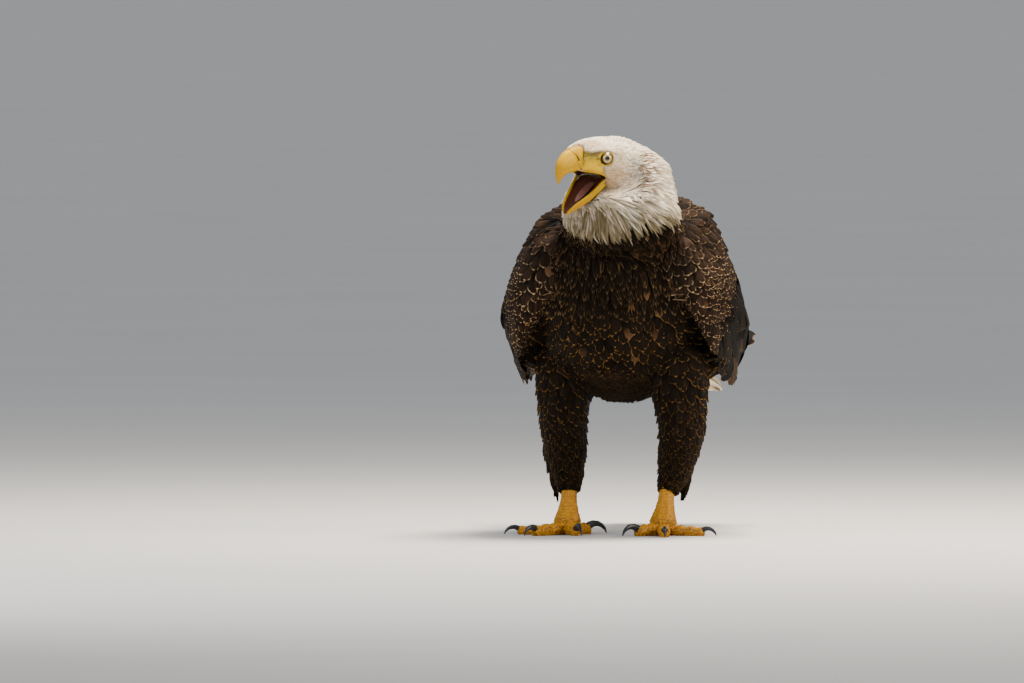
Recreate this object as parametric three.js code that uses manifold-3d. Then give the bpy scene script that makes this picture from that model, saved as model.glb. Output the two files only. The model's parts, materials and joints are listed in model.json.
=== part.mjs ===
// A bald eagle standing on the ground, life size, as a museum model: body leaning forward, wings folded
// and a little drooped, legs straddled, head turned to the bird's own right, bill wide open.
// Millimetres, +Z up. The bird faces -Y, its left side is +X, and its soles stand on z = 0.
// The solids are the outer form, out to the tips of the feathers.
import * as THREE from "three";
import { mergeVertices } from "three/addons/utils/BufferGeometryUtils.js";
import Module from "manifold-3d";

const wasm = await Module();
wasm.setup();

// ---- Driving dimensions -------------------------------------------------------------------------------

const GAP = 0.35; // clearance between touching pieces
const FLOOR_BOX = 1200; // size of the block that trims the soles flat

const HEAD_AT = [-22, -168, 552]; // midpoint between the eyes
const HEAD_YAW = -27; // degrees, turned to the bird's right
const HEAD_ROLL = 6; // degrees, the left eye a little lower

const EYE_RADIUS = 11; // of the ball; the lids leave a round opening of about 17
const EYE_SIDE = 26; // eyeball centre from the middle of the head

const JAW_DROP = 38; // degrees, the lower bill's opening from level
const GAPE = { forward: -7.5, z: -28 }; // corner of the mouth, in the head's frame

const COLOURS = {
  white: 0xe9e4d8,
  brown: 0x3a2a1e,
  flight: 0x2a201a,
  yellow: 0xf2b90c,
  horn: 0xf5a800,
  mouth: 0x4a2c28,
  iris: 0xe9dc98,
  claw: 0x23262b,
};

// ---- Small helpers ------------------------------------------------------------------------------------

const vec = (p) => new THREE.Vector3(p[0], p[1], p[2]);
const rad = THREE.MathUtils.degToRad;

// Rows of numbers drawn out by Catmull-Rom into `count` rows, ends included.
function drawOut(rows, count) {
  const last = rows.length - 1;
  const row = (i) => rows[Math.min(last, Math.max(0, i))];
  return Array.from({ length: count }, (_, k) => {
    const t = (k / (count - 1)) * last;
    const i = Math.min(last - 1, Math.floor(t));
    const f = t - i;
    return row(i).map((b, j) => {
      const [a, c, d] = [row(i - 1)[j], row(i + 1)[j], row(i + 2)[j]];
      return b + 0.5 * f * (c - a + f * (2 * a - 5 * b + 4 * c - d + f * (3 * (b - c) + d - a)));
    });
  });
}

function middleOf(loop) {
  return loop.reduce((sum, p) => sum.add(p), new THREE.Vector3()).divideScalar(loop.length);
}

// A closed skin over rings of equal length, with a pole at each end.
function skinOver(rings, startPole, endPole) {
  const sides = rings[0].length;
  const points = [startPole, ...rings.flat(), endPole];
  const index = [];
  const at = (r, s) => 1 + r * sides + (s % sides);
  for (let s = 0; s < sides; s++) {
    index.push(0, at(0, s + 1), at(0, s));
    index.push(points.length - 1, at(rings.length - 1, s), at(rings.length - 1, s + 1));
    for (let r = 0; r < rings.length - 1; r++) {
      index.push(at(r, s), at(r, s + 1), at(r + 1, s));
      index.push(at(r, s + 1), at(r + 1, s + 1), at(r + 1, s));
    }
  }
  const flat = points.flatMap((p) => p.toArray());
  const geometry = new THREE.BufferGeometry();
  geometry.setAttribute("position", new THREE.Float32BufferAttribute(flat, 3));
  geometry.setIndex(index);
  return geometry;
}

function solidOf(geometry) {
  const merged = mergeVertices(
    new THREE.BufferGeometry()
      .setAttribute("position", geometry.getAttribute("position").clone())
      .setIndex(geometry.index && geometry.index.clone()),
    1e-4,
  );
  const solid = new wasm.Manifold(
    new wasm.Mesh({
      numProp: 3,
      vertProperties: merged.attributes.position.array,
      triVerts: new Uint32Array(merged.index.array),
    }),
  );
  if (solid.volume() > 0) return solid;
  const turned = new Uint32Array(merged.index.array);
  for (let i = 0; i < turned.length; i += 3) [turned[i + 1], turned[i + 2]] = [turned[i + 2], turned[i + 1]];
  const mesh = { numProp: 3, vertProperties: merged.attributes.position.array, triVerts: turned };
  return new wasm.Manifold(new wasm.Mesh(mesh));
}

// The rounded-rectangle-to-ellipse curve: power 2 is an ellipse, more is boxier.
function ovalPoint(angle, power) {
  const [c, s] = [Math.cos(angle), Math.sin(angle)];
  const curve = (v) => Math.sign(v) * Math.pow(Math.abs(v), 2 / power);
  return [curve(c), curve(s)];
}

// A body part lofted along a line. Each row is x, y, z of the centre, half width, height above, depth
// below and the section's power. `up` is the side that "above" means, and `grow` swells the whole part.
function limb(rows, { rings = 12, sides = 20, up = [0, 0, 1], grow = 0, ends = [0.5, 0.5] } = {}) {
  const drawn = drawOut(rows, rings);
  const centres = drawn.map(vec);
  const upward = vec(up);
  const along = centres.map((_, i) =>
    centres[Math.min(rings - 1, i + 1)].clone().sub(centres[Math.max(0, i - 1)]).normalize(),
  );
  const loops = drawn.map(([, , , half, above, below, power], i) => {
    const side = new THREE.Vector3().crossVectors(along[i], upward).normalize();
    const top = new THREE.Vector3().crossVectors(side, along[i]).normalize();
    return Array.from({ length: sides }, (_, k) => {
      const [u, v] = ovalPoint((k / sides) * 2 * Math.PI, power);
      const reach = (v > 0 ? above : below) + grow;
      return centres[i].clone().addScaledVector(side, u * (half + grow)).addScaledVector(top, v * reach);
    });
  });
  const cap = (i, sign, share) => {
    const size = Math.min(drawn[i][3], drawn[i][4], drawn[i][5]);
    return centres[i].clone().addScaledVector(along[i], sign * (size * share + grow));
  };
  return solidOf(skinOver(loops, cap(0, -1, ends[0]), cap(rings - 1, 1, ends[1])));
}

// A curved plate, such as a folded wing: each row is its top edge x, y, z, its bottom edge x, y, z, how far
// its outer face bulges along `out`, and its thickness. `edges` are the shares of that thickness that are
// left at the top and bottom edges, and a greater `fullness` makes the bulge boxier.
function plate(rows, { rings, across, out = [1, 0, 0], edges = [0.4, 0.4], fullness = 3, grow = 0 }) {
  const outward = vec(out).normalize();
  const loops = drawOut(rows, rings).map((row) => {
    const [top, bottom] = [vec(row), vec(row.slice(3))];
    const [bulge, thick] = row.slice(6);
    const down = bottom.clone().sub(top).normalize();
    top.addScaledVector(down, -grow);
    bottom.addScaledVector(down, grow);
    const face = (inside) =>
      Array.from({ length: across }, (_, k) => {
        const t = k / (across - 1);
        const fromMiddle = Math.abs(2 * t - 1);
        const body = 1 - (1 - edges[t < 0.5 ? 0 : 1]) * fromMiddle ** 2;
        const outer = bulge * (1 - fromMiddle ** fullness);
        const offset = inside ? outer - thick * body - grow : outer + grow;
        return top.clone().lerp(bottom, t).addScaledVector(outward, offset);
      });
    return [...face(false), ...face(true).reverse()];
  });
  return solidOf(skinOver(loops, middleOf(loops[0]), middleOf(loops[rings - 1])));
}

// A block with the outline `corners`, right through the part from side to side or from front to back.
function blockAlongX(corners, half = 400) {
  const turn = new THREE.Matrix4().set(0, 0, 1, -half, 1, 0, 0, 0, 0, 1, 0, 0, 0, 0, 0, 1);
  return solidOf(extruded(corners, half).applyMatrix4(turn));
}

function blockAlongY(corners, half = 600) {
  const turn = new THREE.Matrix4().set(1, 0, 0, 0, 0, 0, -1, half, 0, 1, 0, 0, 0, 0, 0, 1);
  return solidOf(extruded(corners, half).applyMatrix4(turn));
}

function extruded(corners, half) {
  const shape = new THREE.Shape(corners.map(([a, b]) => new THREE.Vector2(a, b)));
  return new THREE.ExtrudeGeometry(shape, { depth: 2 * half, bevelEnabled: false, steps: 1 });
}

// The largest piece of a solid, without the slivers that a cut can leave.
function mainPiece(solid) {
  return solid.decompose().reduce((best, piece) => (piece.volume() > best.volume() ? piece : best));
}

// ---- Trunk, neck, tail --------------------------------------------------------------------------------

// Rows of x, y, z, half width, above, below, power. The trunk runs from the neck's root to the rump.
const TRUNK = [
  [4, -128, 440, 62, 46, 58, 2.0],
  [3, -100, 420, 96, 80, 80, 2.1],
  [1, -64, 392, 120, 110, 102, 2.2],
  [0, -26, 358, 126, 129, 118, 2.2],
  [0, 16, 328, 125, 128, 134, 2.2],
  [0, 62, 304, 113, 110, 126, 2.1],
  [0, 108, 286, 92, 89, 90, 2.0],
  [0, 154, 272, 66, 62, 50, 2.0],
  [0, 200, 260, 46, 34, 28, 2.2],
];

// The white neck and its cape, from the nape behind the head down over the breast.
const NECK = [
  [22, -118, 556, 26, 25, 26, 2.0],
  [26, -116, 543, 44, 40, 42, 2.0],
  [30, -115, 524, 66, 55, 56, 2.0],
  [20, -120, 504, 79, 61, 63, 2.0],
  [19, -128, 480, 86, 69, 66, 2.1],
  [10, -132, 458, 87, 70, 66, 2.1],
  [2, -132, 438, 76, 58, 60, 2.0],
  [0, -130, 424, 46, 36, 42, 2.0],
];

// The tail, as left edge, right edge, arch and thickness, swung a little to the bird's left.
const TAIL_ROWS = [
  [-40, 186, 260, 42, 186, 260, 12, 22],
  [-54, 250, 246, 62, 250, 246, 12, 15],
  [-62, 320, 230, 86, 320, 229, 11, 9],
  [-62, 390, 213, 98, 390, 211, 10, 6],
  [-50, 440, 201, 90, 440, 197, 8, 5],
];

const trunkSolid = (grow = 0) => limb(TRUNK, { rings: 12, sides: 18, grow, ends: [0.4, 0.2] });
const neckSolid = (grow = 0) => limb(NECK, { rings: 10, sides: 16, up: [0, 1, 0], grow, ends: [0.2, 0.3] });
const tailSolid = (grow = 0) => plate(TAIL_ROWS, { rings: 7, across: 6, out: [0, 0, 1], fullness: 2, grow });

// ---- Wings --------------------------------------------------------------------------------------------

// The folded left wing, front to back, as rows of top edge, bottom edge, outward bulge and thickness.
const WING = [
  [98, -122, 432, 122, -130, 352, 12, 40],
  [88, -92, 470, 142, -108, 308, 30, 70],
  [76, -50, 494, 149, -60, 270, 50, 84],
  [66, 0, 497, 150, -2, 250, 57, 84],
  [52, 58, 468, 151, 50, 232, 56, 76],
  [38, 118, 418, 150, 110, 223, 46, 56],
  [30, 180, 366, 142, 174, 232, 34, 32],
  [36, 240, 322, 136, 234, 244, 23, 14],
  [80, 300, 298, 138, 296, 246, 12, 8],
  [98, 370, 297, 142, 368, 260, 8, 6],
  [112, 428, 297, 143, 428, 273, 4, 5],
];
// The left shoulder is carried a little higher and fuller. The right wing is pressed closer to the body
// and leans in at the top.
const CARRIAGE = {
  left: { side: 1, lift: 6, lean: 0, bulging: 1, fullness: 4.4 },
  right: { side: -1, lift: -2, lean: 0.1, bulging: 0.84, fullness: 3.6 },
};
const LEAN_PIVOT = 310; // height at which a leaning wing stays in place
const LEAN_MOST = 9; // and the most that it moves
// Where the wing's feather groups meet, seen from the side as y and z: the scapulars end along the first
// line, and the secondaries, which lie over the folded primaries, along the second.
const WING_FRONT = -170; // ahead of the wing's front edge
const SCAPULAR_LINE = [
  [WING_FRONT, 372],
  [-60, 350],
  [20, 332],
  [120, 318],
  [250, 298],
];
const SECONDARY_LINE = [
  [WING_FRONT, 330],
  [-64, 288],
  [10, 262],
  [90, 252],
  [180, 262],
  [250, 282],
];
const FAR = 500; // beyond the bird in any direction

function wingSolid({ side, lift, lean, bulging, fullness }) {
  const [shoulderTop, rumpTop] = [WING[3][2], WING[7][2]];
  const leant = (x, z) => x + THREE.MathUtils.clamp(lean * (LEAN_PIVOT - z), -LEAN_MOST, LEAN_MOST);
  const shown = WING.map(([topX, topY, topZ, lowX, lowY, lowZ, bulge, thick]) => {
    const share = THREE.MathUtils.clamp((topZ - rumpTop) / (shoulderTop - rumpTop), 0, 1);
    const top = [side * leant(topX, topZ), topY, topZ + lift * share];
    return [...top, side * leant(lowX, lowZ), lowY, lowZ, bulge * bulging, thick];
  });
  return plate(shown, { rings: 12, across: 6, out: [side, 0, 0.35], edges: [0.15, 0.15], fullness });
}

const shifted = (line, gap) => line.map(([y, z]) => [y, z + gap / 2]);
const shoulderRear = SCAPULAR_LINE.at(-1)[0];
const handRear = shoulderRear + GAP;
const WING_BLOCKS = {
  shoulder: [...shifted(SCAPULAR_LINE, GAP), [shoulderRear, FAR], [WING_FRONT, FAR]],
  forearm: [...shifted(SCAPULAR_LINE, -GAP), ...shifted(SECONDARY_LINE, GAP).reverse()],
  hand: [
    ...shifted(SECONDARY_LINE, -GAP),
    [handRear, SECONDARY_LINE.at(-1)[1] - 1],
    [handRear, FAR],
    [FAR, FAR],
    [FAR, 0],
    [WING_FRONT, 0],
  ],
};

// ---- Legs ---------------------------------------------------------------------------------------------

// Left and right leg stand at their own places. Rows as for limb: centre, half width, behind, in front.
const LEG_SPOTS = {
  left: { side: 1, thighX: 87, ankleX: 66, footX: 62, footY: -12, flagX: 91 },
  right: { side: -1, thighX: 88, ankleX: 80, footX: 81, footY: 8, flagX: 110 },
};

function thighRows({ side, thighX, ankleX, footY }) {
  const row = (x, y, z, half, behind, front, power) => [side * x, y + footY, z, half, behind, front, power];
  return [
    row(thighX - 12, 18, 306, 40, 60, 60, 2.0),
    row(thighX - 8, 10, 262, 52, 76, 66, 2.1),
    row(thighX - 5, 6, 226, 48, 76, 62, 2.1),
    row(thighX - 1, 8, 190, 40, 64, 54, 2.1),
    row(thighX, 16, 152, 35, 50, 45, 2.1),
    row((2 * thighX + ankleX) / 3, 23, 114, 30, 37, 35, 2.0),
    row((thighX + 2 * ankleX) / 3, 24, 84, 22, 26, 25, 2.0),
    row(ankleX, 19, 60, 14, 16, 15, 2.0),
  ];
}

// The long feathers that hang behind the ankle, in a point.
function flagRows({ side, flagX, footY }) {
  const row = (x, y, z, half, deep) => [side * x, y + footY, z, half, deep, deep, 2];
  return [
    row(flagX - 2, 46, 160, 20, 24),
    row(flagX, 52, 112, 14, 17),
    row(flagX - 3, 54, 78, 9, 10),
    row(flagX - 8, 53, 48, 2.5, 3),
  ];
}

// The thigh is divided from the body along these lines, seen from the front as x and z.
const THIGH_LINE = [
  [38, 100],
  [38, 204],
  [62, 256],
  [230, 262],
  [230, 100],
];
// Under that line everything on a leg's side is that leg's.
const BELOW_THIGH = [
  [4, -5],
  [4, 100],
  [230, 100],
  [230, -5],
];

function tarsusRows({ side, ankleX, footX, footY }) {
  const row = (share, y, z, half, behind, front) => {
    const x = side * (footX + (ankleX - footX) * share);
    return [x, y + footY, z, half, behind, front, 2.2];
  };
  return [
    row(1, 24, 92, 10, 10, 9),
    row(0.9, 18, 70, 10.5, 10.5, 9.5),
    row(0.6, 11, 50, 11.5, 11, 10),
    row(0.3, 5, 34, 15, 13, 12),
    row(0, 0, 20, 20, 17, 17),
    row(0, -1, 9, 17, 16, 16),
  ];
}

// Toes: heading in degrees from straight ahead, towards +X, then length and thickness. Toe 1 is the hind toe.
const TOES = {
  left: [
    { name: "hind", heading: 172, length: 38, thick: 9.5, claw: 1.2 },
    { name: "inner", heading: -42, length: 49, thick: 9.5, claw: 1.12 },
    { name: "middle", heading: 9, length: 74, thick: 9, claw: 1.0 },
    { name: "outer", heading: 74, length: 62, thick: 8, claw: 0.86 },
  ],
  right: [
    { name: "hind", heading: 128, length: 35, thick: 9.5, claw: 1.2 },
    { name: "inner", heading: 22, length: 54, thick: 9.5, claw: 1.12 },
    { name: "middle", heading: -31, length: 74, thick: 9, claw: 1.0 },
    { name: "outer", heading: -78, length: 70, thick: 8, claw: 0.86 },
  ],
};
const NEIGHBOUR = 70; // toes whose headings are closer than this touch at their roots
const SOLE_SINK = 1.4; // how deep the round toes are trimmed to make small flats

// A toe as three pads and the raised end that carries the claw. The pads swell between the joints.
function toeSolid(spot, toe, grow = 0) {
  const [x, y] = [spot.side * spot.footX, spot.footY];
  const [dx, dy] = [Math.sin(rad(toe.heading)), -Math.cos(rad(toe.heading))];
  const steps = 7;
  const rows = Array.from({ length: steps }, (_, i) => {
    const t = i / (steps - 1);
    const swell = i % 2 === 0 ? 1.09 : 0.92;
    const half = toe.thick * swell * (1 - 0.2 * t) * (i === 0 ? 0.75 : 1);
    const height = toe.thick * (1.05 - 0.2 * t) * swell;
    const reach = 10 + (toe.length - 10) * t;
    return [x + dx * reach, y + dy * reach, height - SOLE_SINK, half, height, height, 2.2];
  });
  return limb(rows, { rings: steps, sides: 8, grow, ends: [0.3, 0.55] });
}

// A claw: a tapering horn bent round an arc, from the top of the toe's end down to the ground.
const CLAW = { radius: 16.5, sweep: 128, start: 52, wide: 4.4, deep: 5.6 };

function clawSolid(spot, toe, grow = 0) {
  const [dx, dy] = [Math.sin(rad(toe.heading)), -Math.cos(rad(toe.heading))];
  const bend = CLAW.radius * toe.claw;
  const steps = 7;
  const root = toe.length - 1;
  const tipDrop = Math.cos(rad(CLAW.sweep - CLAW.start));
  const hub = { reach: root + bend * Math.sin(rad(CLAW.start)) * 0.82, z: 0.6 - bend * tipDrop };
  const rows = Array.from({ length: steps }, (_, i) => {
    const t = i / (steps - 1);
    const angle = rad(CLAW.sweep * t - CLAW.start);
    const reach = hub.reach + bend * Math.sin(angle);
    const size = Math.pow(1 - t, 0.62);
    const x = spot.side * spot.footX + dx * reach;
    const y = spot.footY + dy * reach;
    const half = Math.max(0.35, CLAW.wide * toe.claw * size);
    const deep = Math.max(0.4, CLAW.deep * toe.claw * size);
    return [x, y, hub.z + bend * Math.cos(angle), half, deep, deep, 2.1];
  });
  return limb(rows, { rings: steps, sides: 6, grow, ends: [0.4, 1] });
}

// ---- Head ---------------------------------------------------------------------------------------------

// The head is made facing -Y with the midpoint of its eyes at the origin, then turned and set in place.
function placeHead(solid) {
  const turn = new THREE.Matrix4().makeRotationZ(rad(HEAD_YAW));
  const roll = new THREE.Matrix4().makeRotationY(rad(HEAD_ROLL));
  const move = new THREE.Matrix4().makeTranslation(...HEAD_AT);
  const placed = move.multiply(turn).multiply(roll);
  return solid.transform(placed.elements);
}

// A piece of the head lofted from back to front: rows of y, top z, bottom z, half width, power.
function headLoft(rows, options = {}) {
  const shown = rows.map(([y, top, bottom, half, power]) => {
    const middle = (top + bottom) / 2;
    return [0, y, middle, half, top - middle, middle - bottom, power];
  });
  return limb(shown, options);
}

const SKULL = [
  [92, 21, -46, 34, 2.0],
  [72, 26.5, -56, 43, 2.0],
  [48, 28.5, -58, 44, 2.1],
  [26, 28, -53, 42, 2.2],
  [6, 27.3, -46, 36, 2.4],
  [-12, 24.8, -36, 30, 2.5],
  [-28, 20.5, -27, 23, 2.4],
  [-40, 15.5, -22, 17, 2.3],
];

// The feathered chin and throat, which hang with the lower bill.
const CHIN = [
  [0, 56, -58, 34, 22, 36, 2.0],
  [0, 34, -58, 32, 18, 30, 2.0],
  [0, 12, -60, 27, 14, 20, 2.0],
  [0, -10, -67, 20, 10, 13, 2.0],
  [0, -26, -74, 12, 6, 8, 2.0],
];

// The cere and the upper bill: sections from a point on the ridge to a point on the biting edge.
// Rows of ridge forward, ridge z, edge forward, edge z, half width.
const UPPER = [
  [36, 19, 20, -20, 16.5],
  [46, 17.5, 31, -19.5, 15],
  [56, 14.5, 43, -19.5, 13.5],
  [66, 12, 52, -20.8, 12.3],
  [75, 5, 60, -22, 11],
  [81.5, -4.5, 66.5, -24.2, 9.2],
  [84.8, -15, 71, -27, 7.2],
  [84, -25.5, 74, -31, 5],
  [80.5, -34.5, 75.6, -36.2, 2.7],
];
const CERE_ROWS = 3; // how many of those rows are cere; the last one is shared with the horn
const HOOK_TIP = [76.6, -41];

function billSections(rows, rings, sides, grow, tip, slack = 0) {
  const drawn = drawOut(rows, rings);
  const loops = drawn.map(([ridgeF, ridgeZ, edgeF, edgeZ, half]) => {
    const ridge = new THREE.Vector3(0, -ridgeF, ridgeZ);
    const edge = new THREE.Vector3(0, -edgeF, edgeZ);
    const down = edge.clone().sub(ridge).normalize();
    ridge.addScaledVector(down, -grow);
    edge.addScaledVector(down, grow);
    return Array.from({ length: sides }, (_, k) => {
      const angle = (k / sides) * 2 * Math.PI;
      const t = 0.5 - 0.5 * Math.cos(angle);
      const width = Math.pow(Math.abs(Math.sin(angle)), 0.75) * (0.72 + 0.42 * t) * (half + grow);
      return ridge.clone().lerp(edge, t).add(new THREE.Vector3(Math.sign(Math.sin(angle)) * width, 0, 0));
    });
  });
  const start = middleOf(loops[0]).add(new THREE.Vector3(0, grow + slack, 0));
  const end = tip ? new THREE.Vector3(0, -tip[0] - grow, tip[1]) : middleOf(loops[rings - 1]);
  return solidOf(skinOver(loops, start, end));
}

const cereSolid = (grow = 0) => billSections(UPPER.slice(0, CERE_ROWS), 3, 12, grow, null, 4);
const hornSolid = (grow = 0) => billSections(UPPER.slice(CERE_ROWS - 1), 9, 12, grow, HOOK_TIP);

// The lower bill in its own line: rows of distance from the corner of the mouth, rim height, keel depth
// and half width.
const LOWER = [
  [-4, 1, -13, 25.5],
  [14, -0.5, -14, 24.5],
  [32, -1.5, -14, 21.5],
  [50, -1, -12.5, 17],
  [64, -0.5, -10.5, 12.5],
  [75, -2, -8.5, 8],
  [80, -3.5, -7.5, 5],
];

// Turns a solid made level along -Y from the corner of the mouth into the dropped jaw.
function dropJaw(solid) {
  const tilt = new THREE.Matrix4().makeRotationX(rad(JAW_DROP));
  const move = new THREE.Matrix4().makeTranslation(0, -GAPE.forward, GAPE.z);
  return solid.transform(move.multiply(tilt).elements);
}

function jawLoft(rows, options) {
  const shown = rows.map(([s, rim, keel, half]) => {
    const middle = (rim + keel) / 2;
    return [0, -s, middle, half, rim - middle, middle - keel, 2.6];
  });
  return limb(shown, { rings: 7, sides: 12, ends: [0.2, 0.5], ...options });
}

const TROUGH_WALL = 2.2; // thickness of the lower bill's rim
const TROUGH = LOWER.map(([s, rim, keel, half]) => {
  return [s - 2, rim + 14, keel + 4.5, Math.max(1.5, half - TROUGH_WALL)];
});
const TONGUE = [
  [6, -4, -7.5, 7],
  [24, -3.2, -7.4, 7.4],
  [40, -3.4, -7.2, 6],
  [52, -4.6, -7, 3],
];

// The wedge of air between the jaws, open at the front and sides, closed at the throat: y and z corners.
function mouthAir() {
  const front = GAPE.forward + 100;
  const fall = Math.tan(rad(JAW_DROP));
  return blockAlongX([
    [-GAPE.forward, GAPE.z],
    [-GAPE.forward - 34, GAPE.z + 8],
    [-front, GAPE.z + 6],
    [-front, GAPE.z - fall * (front - GAPE.forward)],
  ]);
}

// The throat behind the tongue, inside the cheeks: centre, half width, above, below, power.
const THROAT = [
  [0, 38, -38, 8, 5, 5, 2],
  [0, 20, -36, 17, 9, 10, 2],
  [0, 0, -39, 20, 13, 15, 2],
  [0, -20, -48, 19, 16, 20, 2],
  [0, -38, -60, 15, 16, 20, 2],
];

// The head's share of the skull: in front of a cut behind the ears and above a cut under the jaw.
const headBlock = (gap = 0) =>
  blockAlongX([
    [58 + gap, 100],
    [40 + gap, -26],
    [22 + gap, -48 - gap],
    [-150, -62 - gap],
    [-150, 100],
  ]);

function eyeSolid(side, grow = 0) {
  const ball = new THREE.SphereGeometry(EYE_RADIUS + grow, 10, 8);
  ball.translate(side * EYE_SIDE, 0, 0);
  return solidOf(ball);
}

// ---- Assembly -----------------------------------------------------------------------------------------

const ground = solidOf(new THREE.BoxGeometry(FLOOR_BOX, FLOOR_BOX, 200).translate(0, 0, -100));
const clearOfGround = (solid) => solid.subtract(ground);
const without = (solid, ...cutters) => cutters.reduce((rest, cutter) => rest.subtract(cutter), solid);

const made = [];
function add(name, solid, colour, roughness = 0.7) {
  made.push({ name, solid: mainPiece(solid), colour, roughness });
}

// Head pieces, made level and then placed.
const TONGUE_FORM = { rings: 6, sides: 10 };
const SKULL_FORM = { rings: 10, sides: 14, ends: [0.5, 0.2] };
const CHIN_FORM = { rings: 6, sides: 12 };
const air = mouthAir();
const lowerGrown = dropJaw(jawLoft(LOWER, { grow: GAP }));
const tongue = dropJaw(jawLoft(TONGUE, TONGUE_FORM));
const tongueGrown = dropJaw(jawLoft(TONGUE, { ...TONGUE_FORM, grow: GAP }));
const skullWhole = headLoft(SKULL, SKULL_FORM);
const chinWhole = limb(CHIN, CHIN_FORM);
const chinGrown = limb(CHIN, { ...CHIN_FORM, grow: GAP });
const sockets = eyeSolid(1, GAP).add(eyeSolid(-1, GAP));

const hollows = air.add(limb(THROAT, { rings: 5, sides: 12 }));
const billGrown = cereSolid(GAP).add(hornSolid(GAP)).add(lowerGrown);
const skull = without(skullWhole.intersect(headBlock()), hollows, billGrown, sockets);
const lowerBill = without(dropJaw(jawLoft(LOWER)), dropJaw(jawLoft(TROUGH)), tongueGrown);
const neck = without(
  neckSolid().add(placeHead(skullWhole)),
  placeHead(headBlock(GAP)),
  placeHead(chinGrown),
  placeHead(lowerGrown),
);

add("head", placeHead(skull), COLOURS.white);
add("chin", placeHead(without(chinWhole, headBlock(GAP), lowerGrown)), COLOURS.white);
add("cere", placeHead(without(cereSolid(), hornSolid(GAP), sockets)), COLOURS.yellow, 0.5);
add("bill_upper", placeHead(hornSolid()), COLOURS.horn, 0.35);
add("bill_lower", placeHead(lowerBill), COLOURS.yellow, 0.4);
add("tongue", placeHead(without(tongue, headBlock(GAP))), COLOURS.mouth, 0.5);
add("eye_left", placeHead(eyeSolid(1)), COLOURS.iris, 0.1);
add("eye_right", placeHead(eyeSolid(-1)), COLOURS.iris, 0.1);
add("neck", neck, COLOURS.white);

// The thighs are parts of one body with the trunk, divided from it by straight cuts.
const THIGH_FORM = { rings: 8, sides: 12, up: [0, 1, 0], ends: [0.3, 0.3] };
const FLAG_FORM = { rings: 4, sides: 6, up: [0, 1, 0], ends: [0.5, 1] };
const TARSUS_FORM = { rings: 6, sides: 10, up: [0, 1, 0], ends: [0.3, 0.4] };

function legOf(name, spot) {
  const onSide = (corners) => (spot.side > 0 ? corners : corners.map(([x, z]) => [-x, z]).reverse());
  const block = (gap = 0) => {
    const corners = THIGH_LINE.map(([x, z], i) => [i < 3 ? x - gap : x, i > 0 && i < 4 ? z + gap : z - gap]);
    return blockAlongY(onSide(corners)).add(blockAlongY(onSide(BELOW_THIGH)));
  };
  const whole = (grow = 0) =>
    limb(thighRows(spot), { ...THIGH_FORM, grow }).add(limb(flagRows(spot), { ...FLAG_FORM, grow }));
  const tarsus = (grow = 0) => limb(tarsusRows(spot), { ...TARSUS_FORM, grow });
  return { name, spot, block, whole, tarsus };
}

const legs = Object.entries(LEG_SPOTS).map(([name, spot]) => legOf(name, spot));
const body = legs.reduce((rest, leg) => rest.add(leg.whole()), trunkSolid());
const bodyGrown = legs.reduce((rest, leg) => rest.add(leg.whole(GAP)), trunkSolid(GAP));
const neckGrown = neckSolid(GAP).add(neckSolid(GAP).translate(0, 0, -GAP));
const covering = neckGrown.add(placeHead(headLoft(SKULL, { ...SKULL_FORM, grow: GAP })));

add("trunk", without(body, ...legs.map((leg) => leg.block(GAP)), covering), COLOURS.brown);
add("tail", without(tailSolid(), bodyGrown), COLOURS.white);

for (const [name, carriage] of Object.entries(CARRIAGE)) {
  const wing = without(wingSolid(carriage), bodyGrown, covering);
  for (const [group, corners] of Object.entries(WING_BLOCKS)) {
    const colour = group === "hand" ? COLOURS.flight : COLOURS.brown;
    add(`wing_${name}_${group}`, wing.intersect(blockAlongX(corners)), colour);
  }
}

for (const { name, spot, block, tarsus } of legs) {
  const shankGrown = tarsus(GAP);
  add(`thigh_${name}`, without(body.intersect(block()), shankGrown), COLOURS.brown);
  add(`shank_${name}`, clearOfGround(tarsus()), COLOURS.yellow, 0.5);
  TOES[name].forEach((toe, i) => {
    const near = TOES[name].slice(0, i).filter((other) => Math.abs(other.heading - toe.heading) < NEIGHBOUR);
    const nearGrown = near.map((other) => toeSolid(spot, other, GAP));
    const shaped = without(toeSolid(spot, toe), shankGrown, clawSolid(spot, toe, GAP), ...nearGrown);
    add(`toe_${name}_${toe.name}`, clearOfGround(shaped), COLOURS.yellow, 0.5);
    add(`claw_${name}_${toe.name}`, clearOfGround(clawSolid(spot, toe)), COLOURS.claw, 0.25);
  });
}

// The origin is at the middle of the footprint's box, on the ground.
const boxes = made.map(({ solid }) => solid.boundingBox());
const middle = [0, 1].map((axis) => {
  const low = Math.min(...boxes.map((b) => b.min[axis]));
  const high = Math.max(...boxes.map((b) => b.max[axis]));
  return (low + high) / 2;
});

const eagle = new THREE.Group();
for (const { name, solid, colour, roughness } of made) {
  const { vertProperties, triVerts, numProp } = solid.getMesh();
  const buffer = new THREE.InterleavedBuffer(vertProperties, numProp);
  const geometry = new THREE.BufferGeometry();
  geometry.setAttribute("position", new THREE.InterleavedBufferAttribute(buffer, 3, 0));
  geometry.setIndex(new THREE.BufferAttribute(triVerts, 1));
  const material = new THREE.MeshStandardMaterial({ color: colour, roughness, metalness: 0 });
  const mesh = new THREE.Mesh(geometry, material);
  mesh.name = name;
  eagle.add(mesh);
}
eagle.position.set(-middle[0], -middle[1], 0);

export default eagle;
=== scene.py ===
# %% [markdown]
# # A bald eagle, life size
# The bird stands on the floor with its wings folded, its head turned to its right and its bill open.
# The solids that came from the construction give every place and size. Here they get their looks: one
# skin under the plumage, a smooth bill, eyes, scaly feet, and feathers laid tract by tract, as they
# grow on a real bird. Working from the frame keeps the picture and the solid part the same size.

# %% Load the frame
import json
import math

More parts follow.
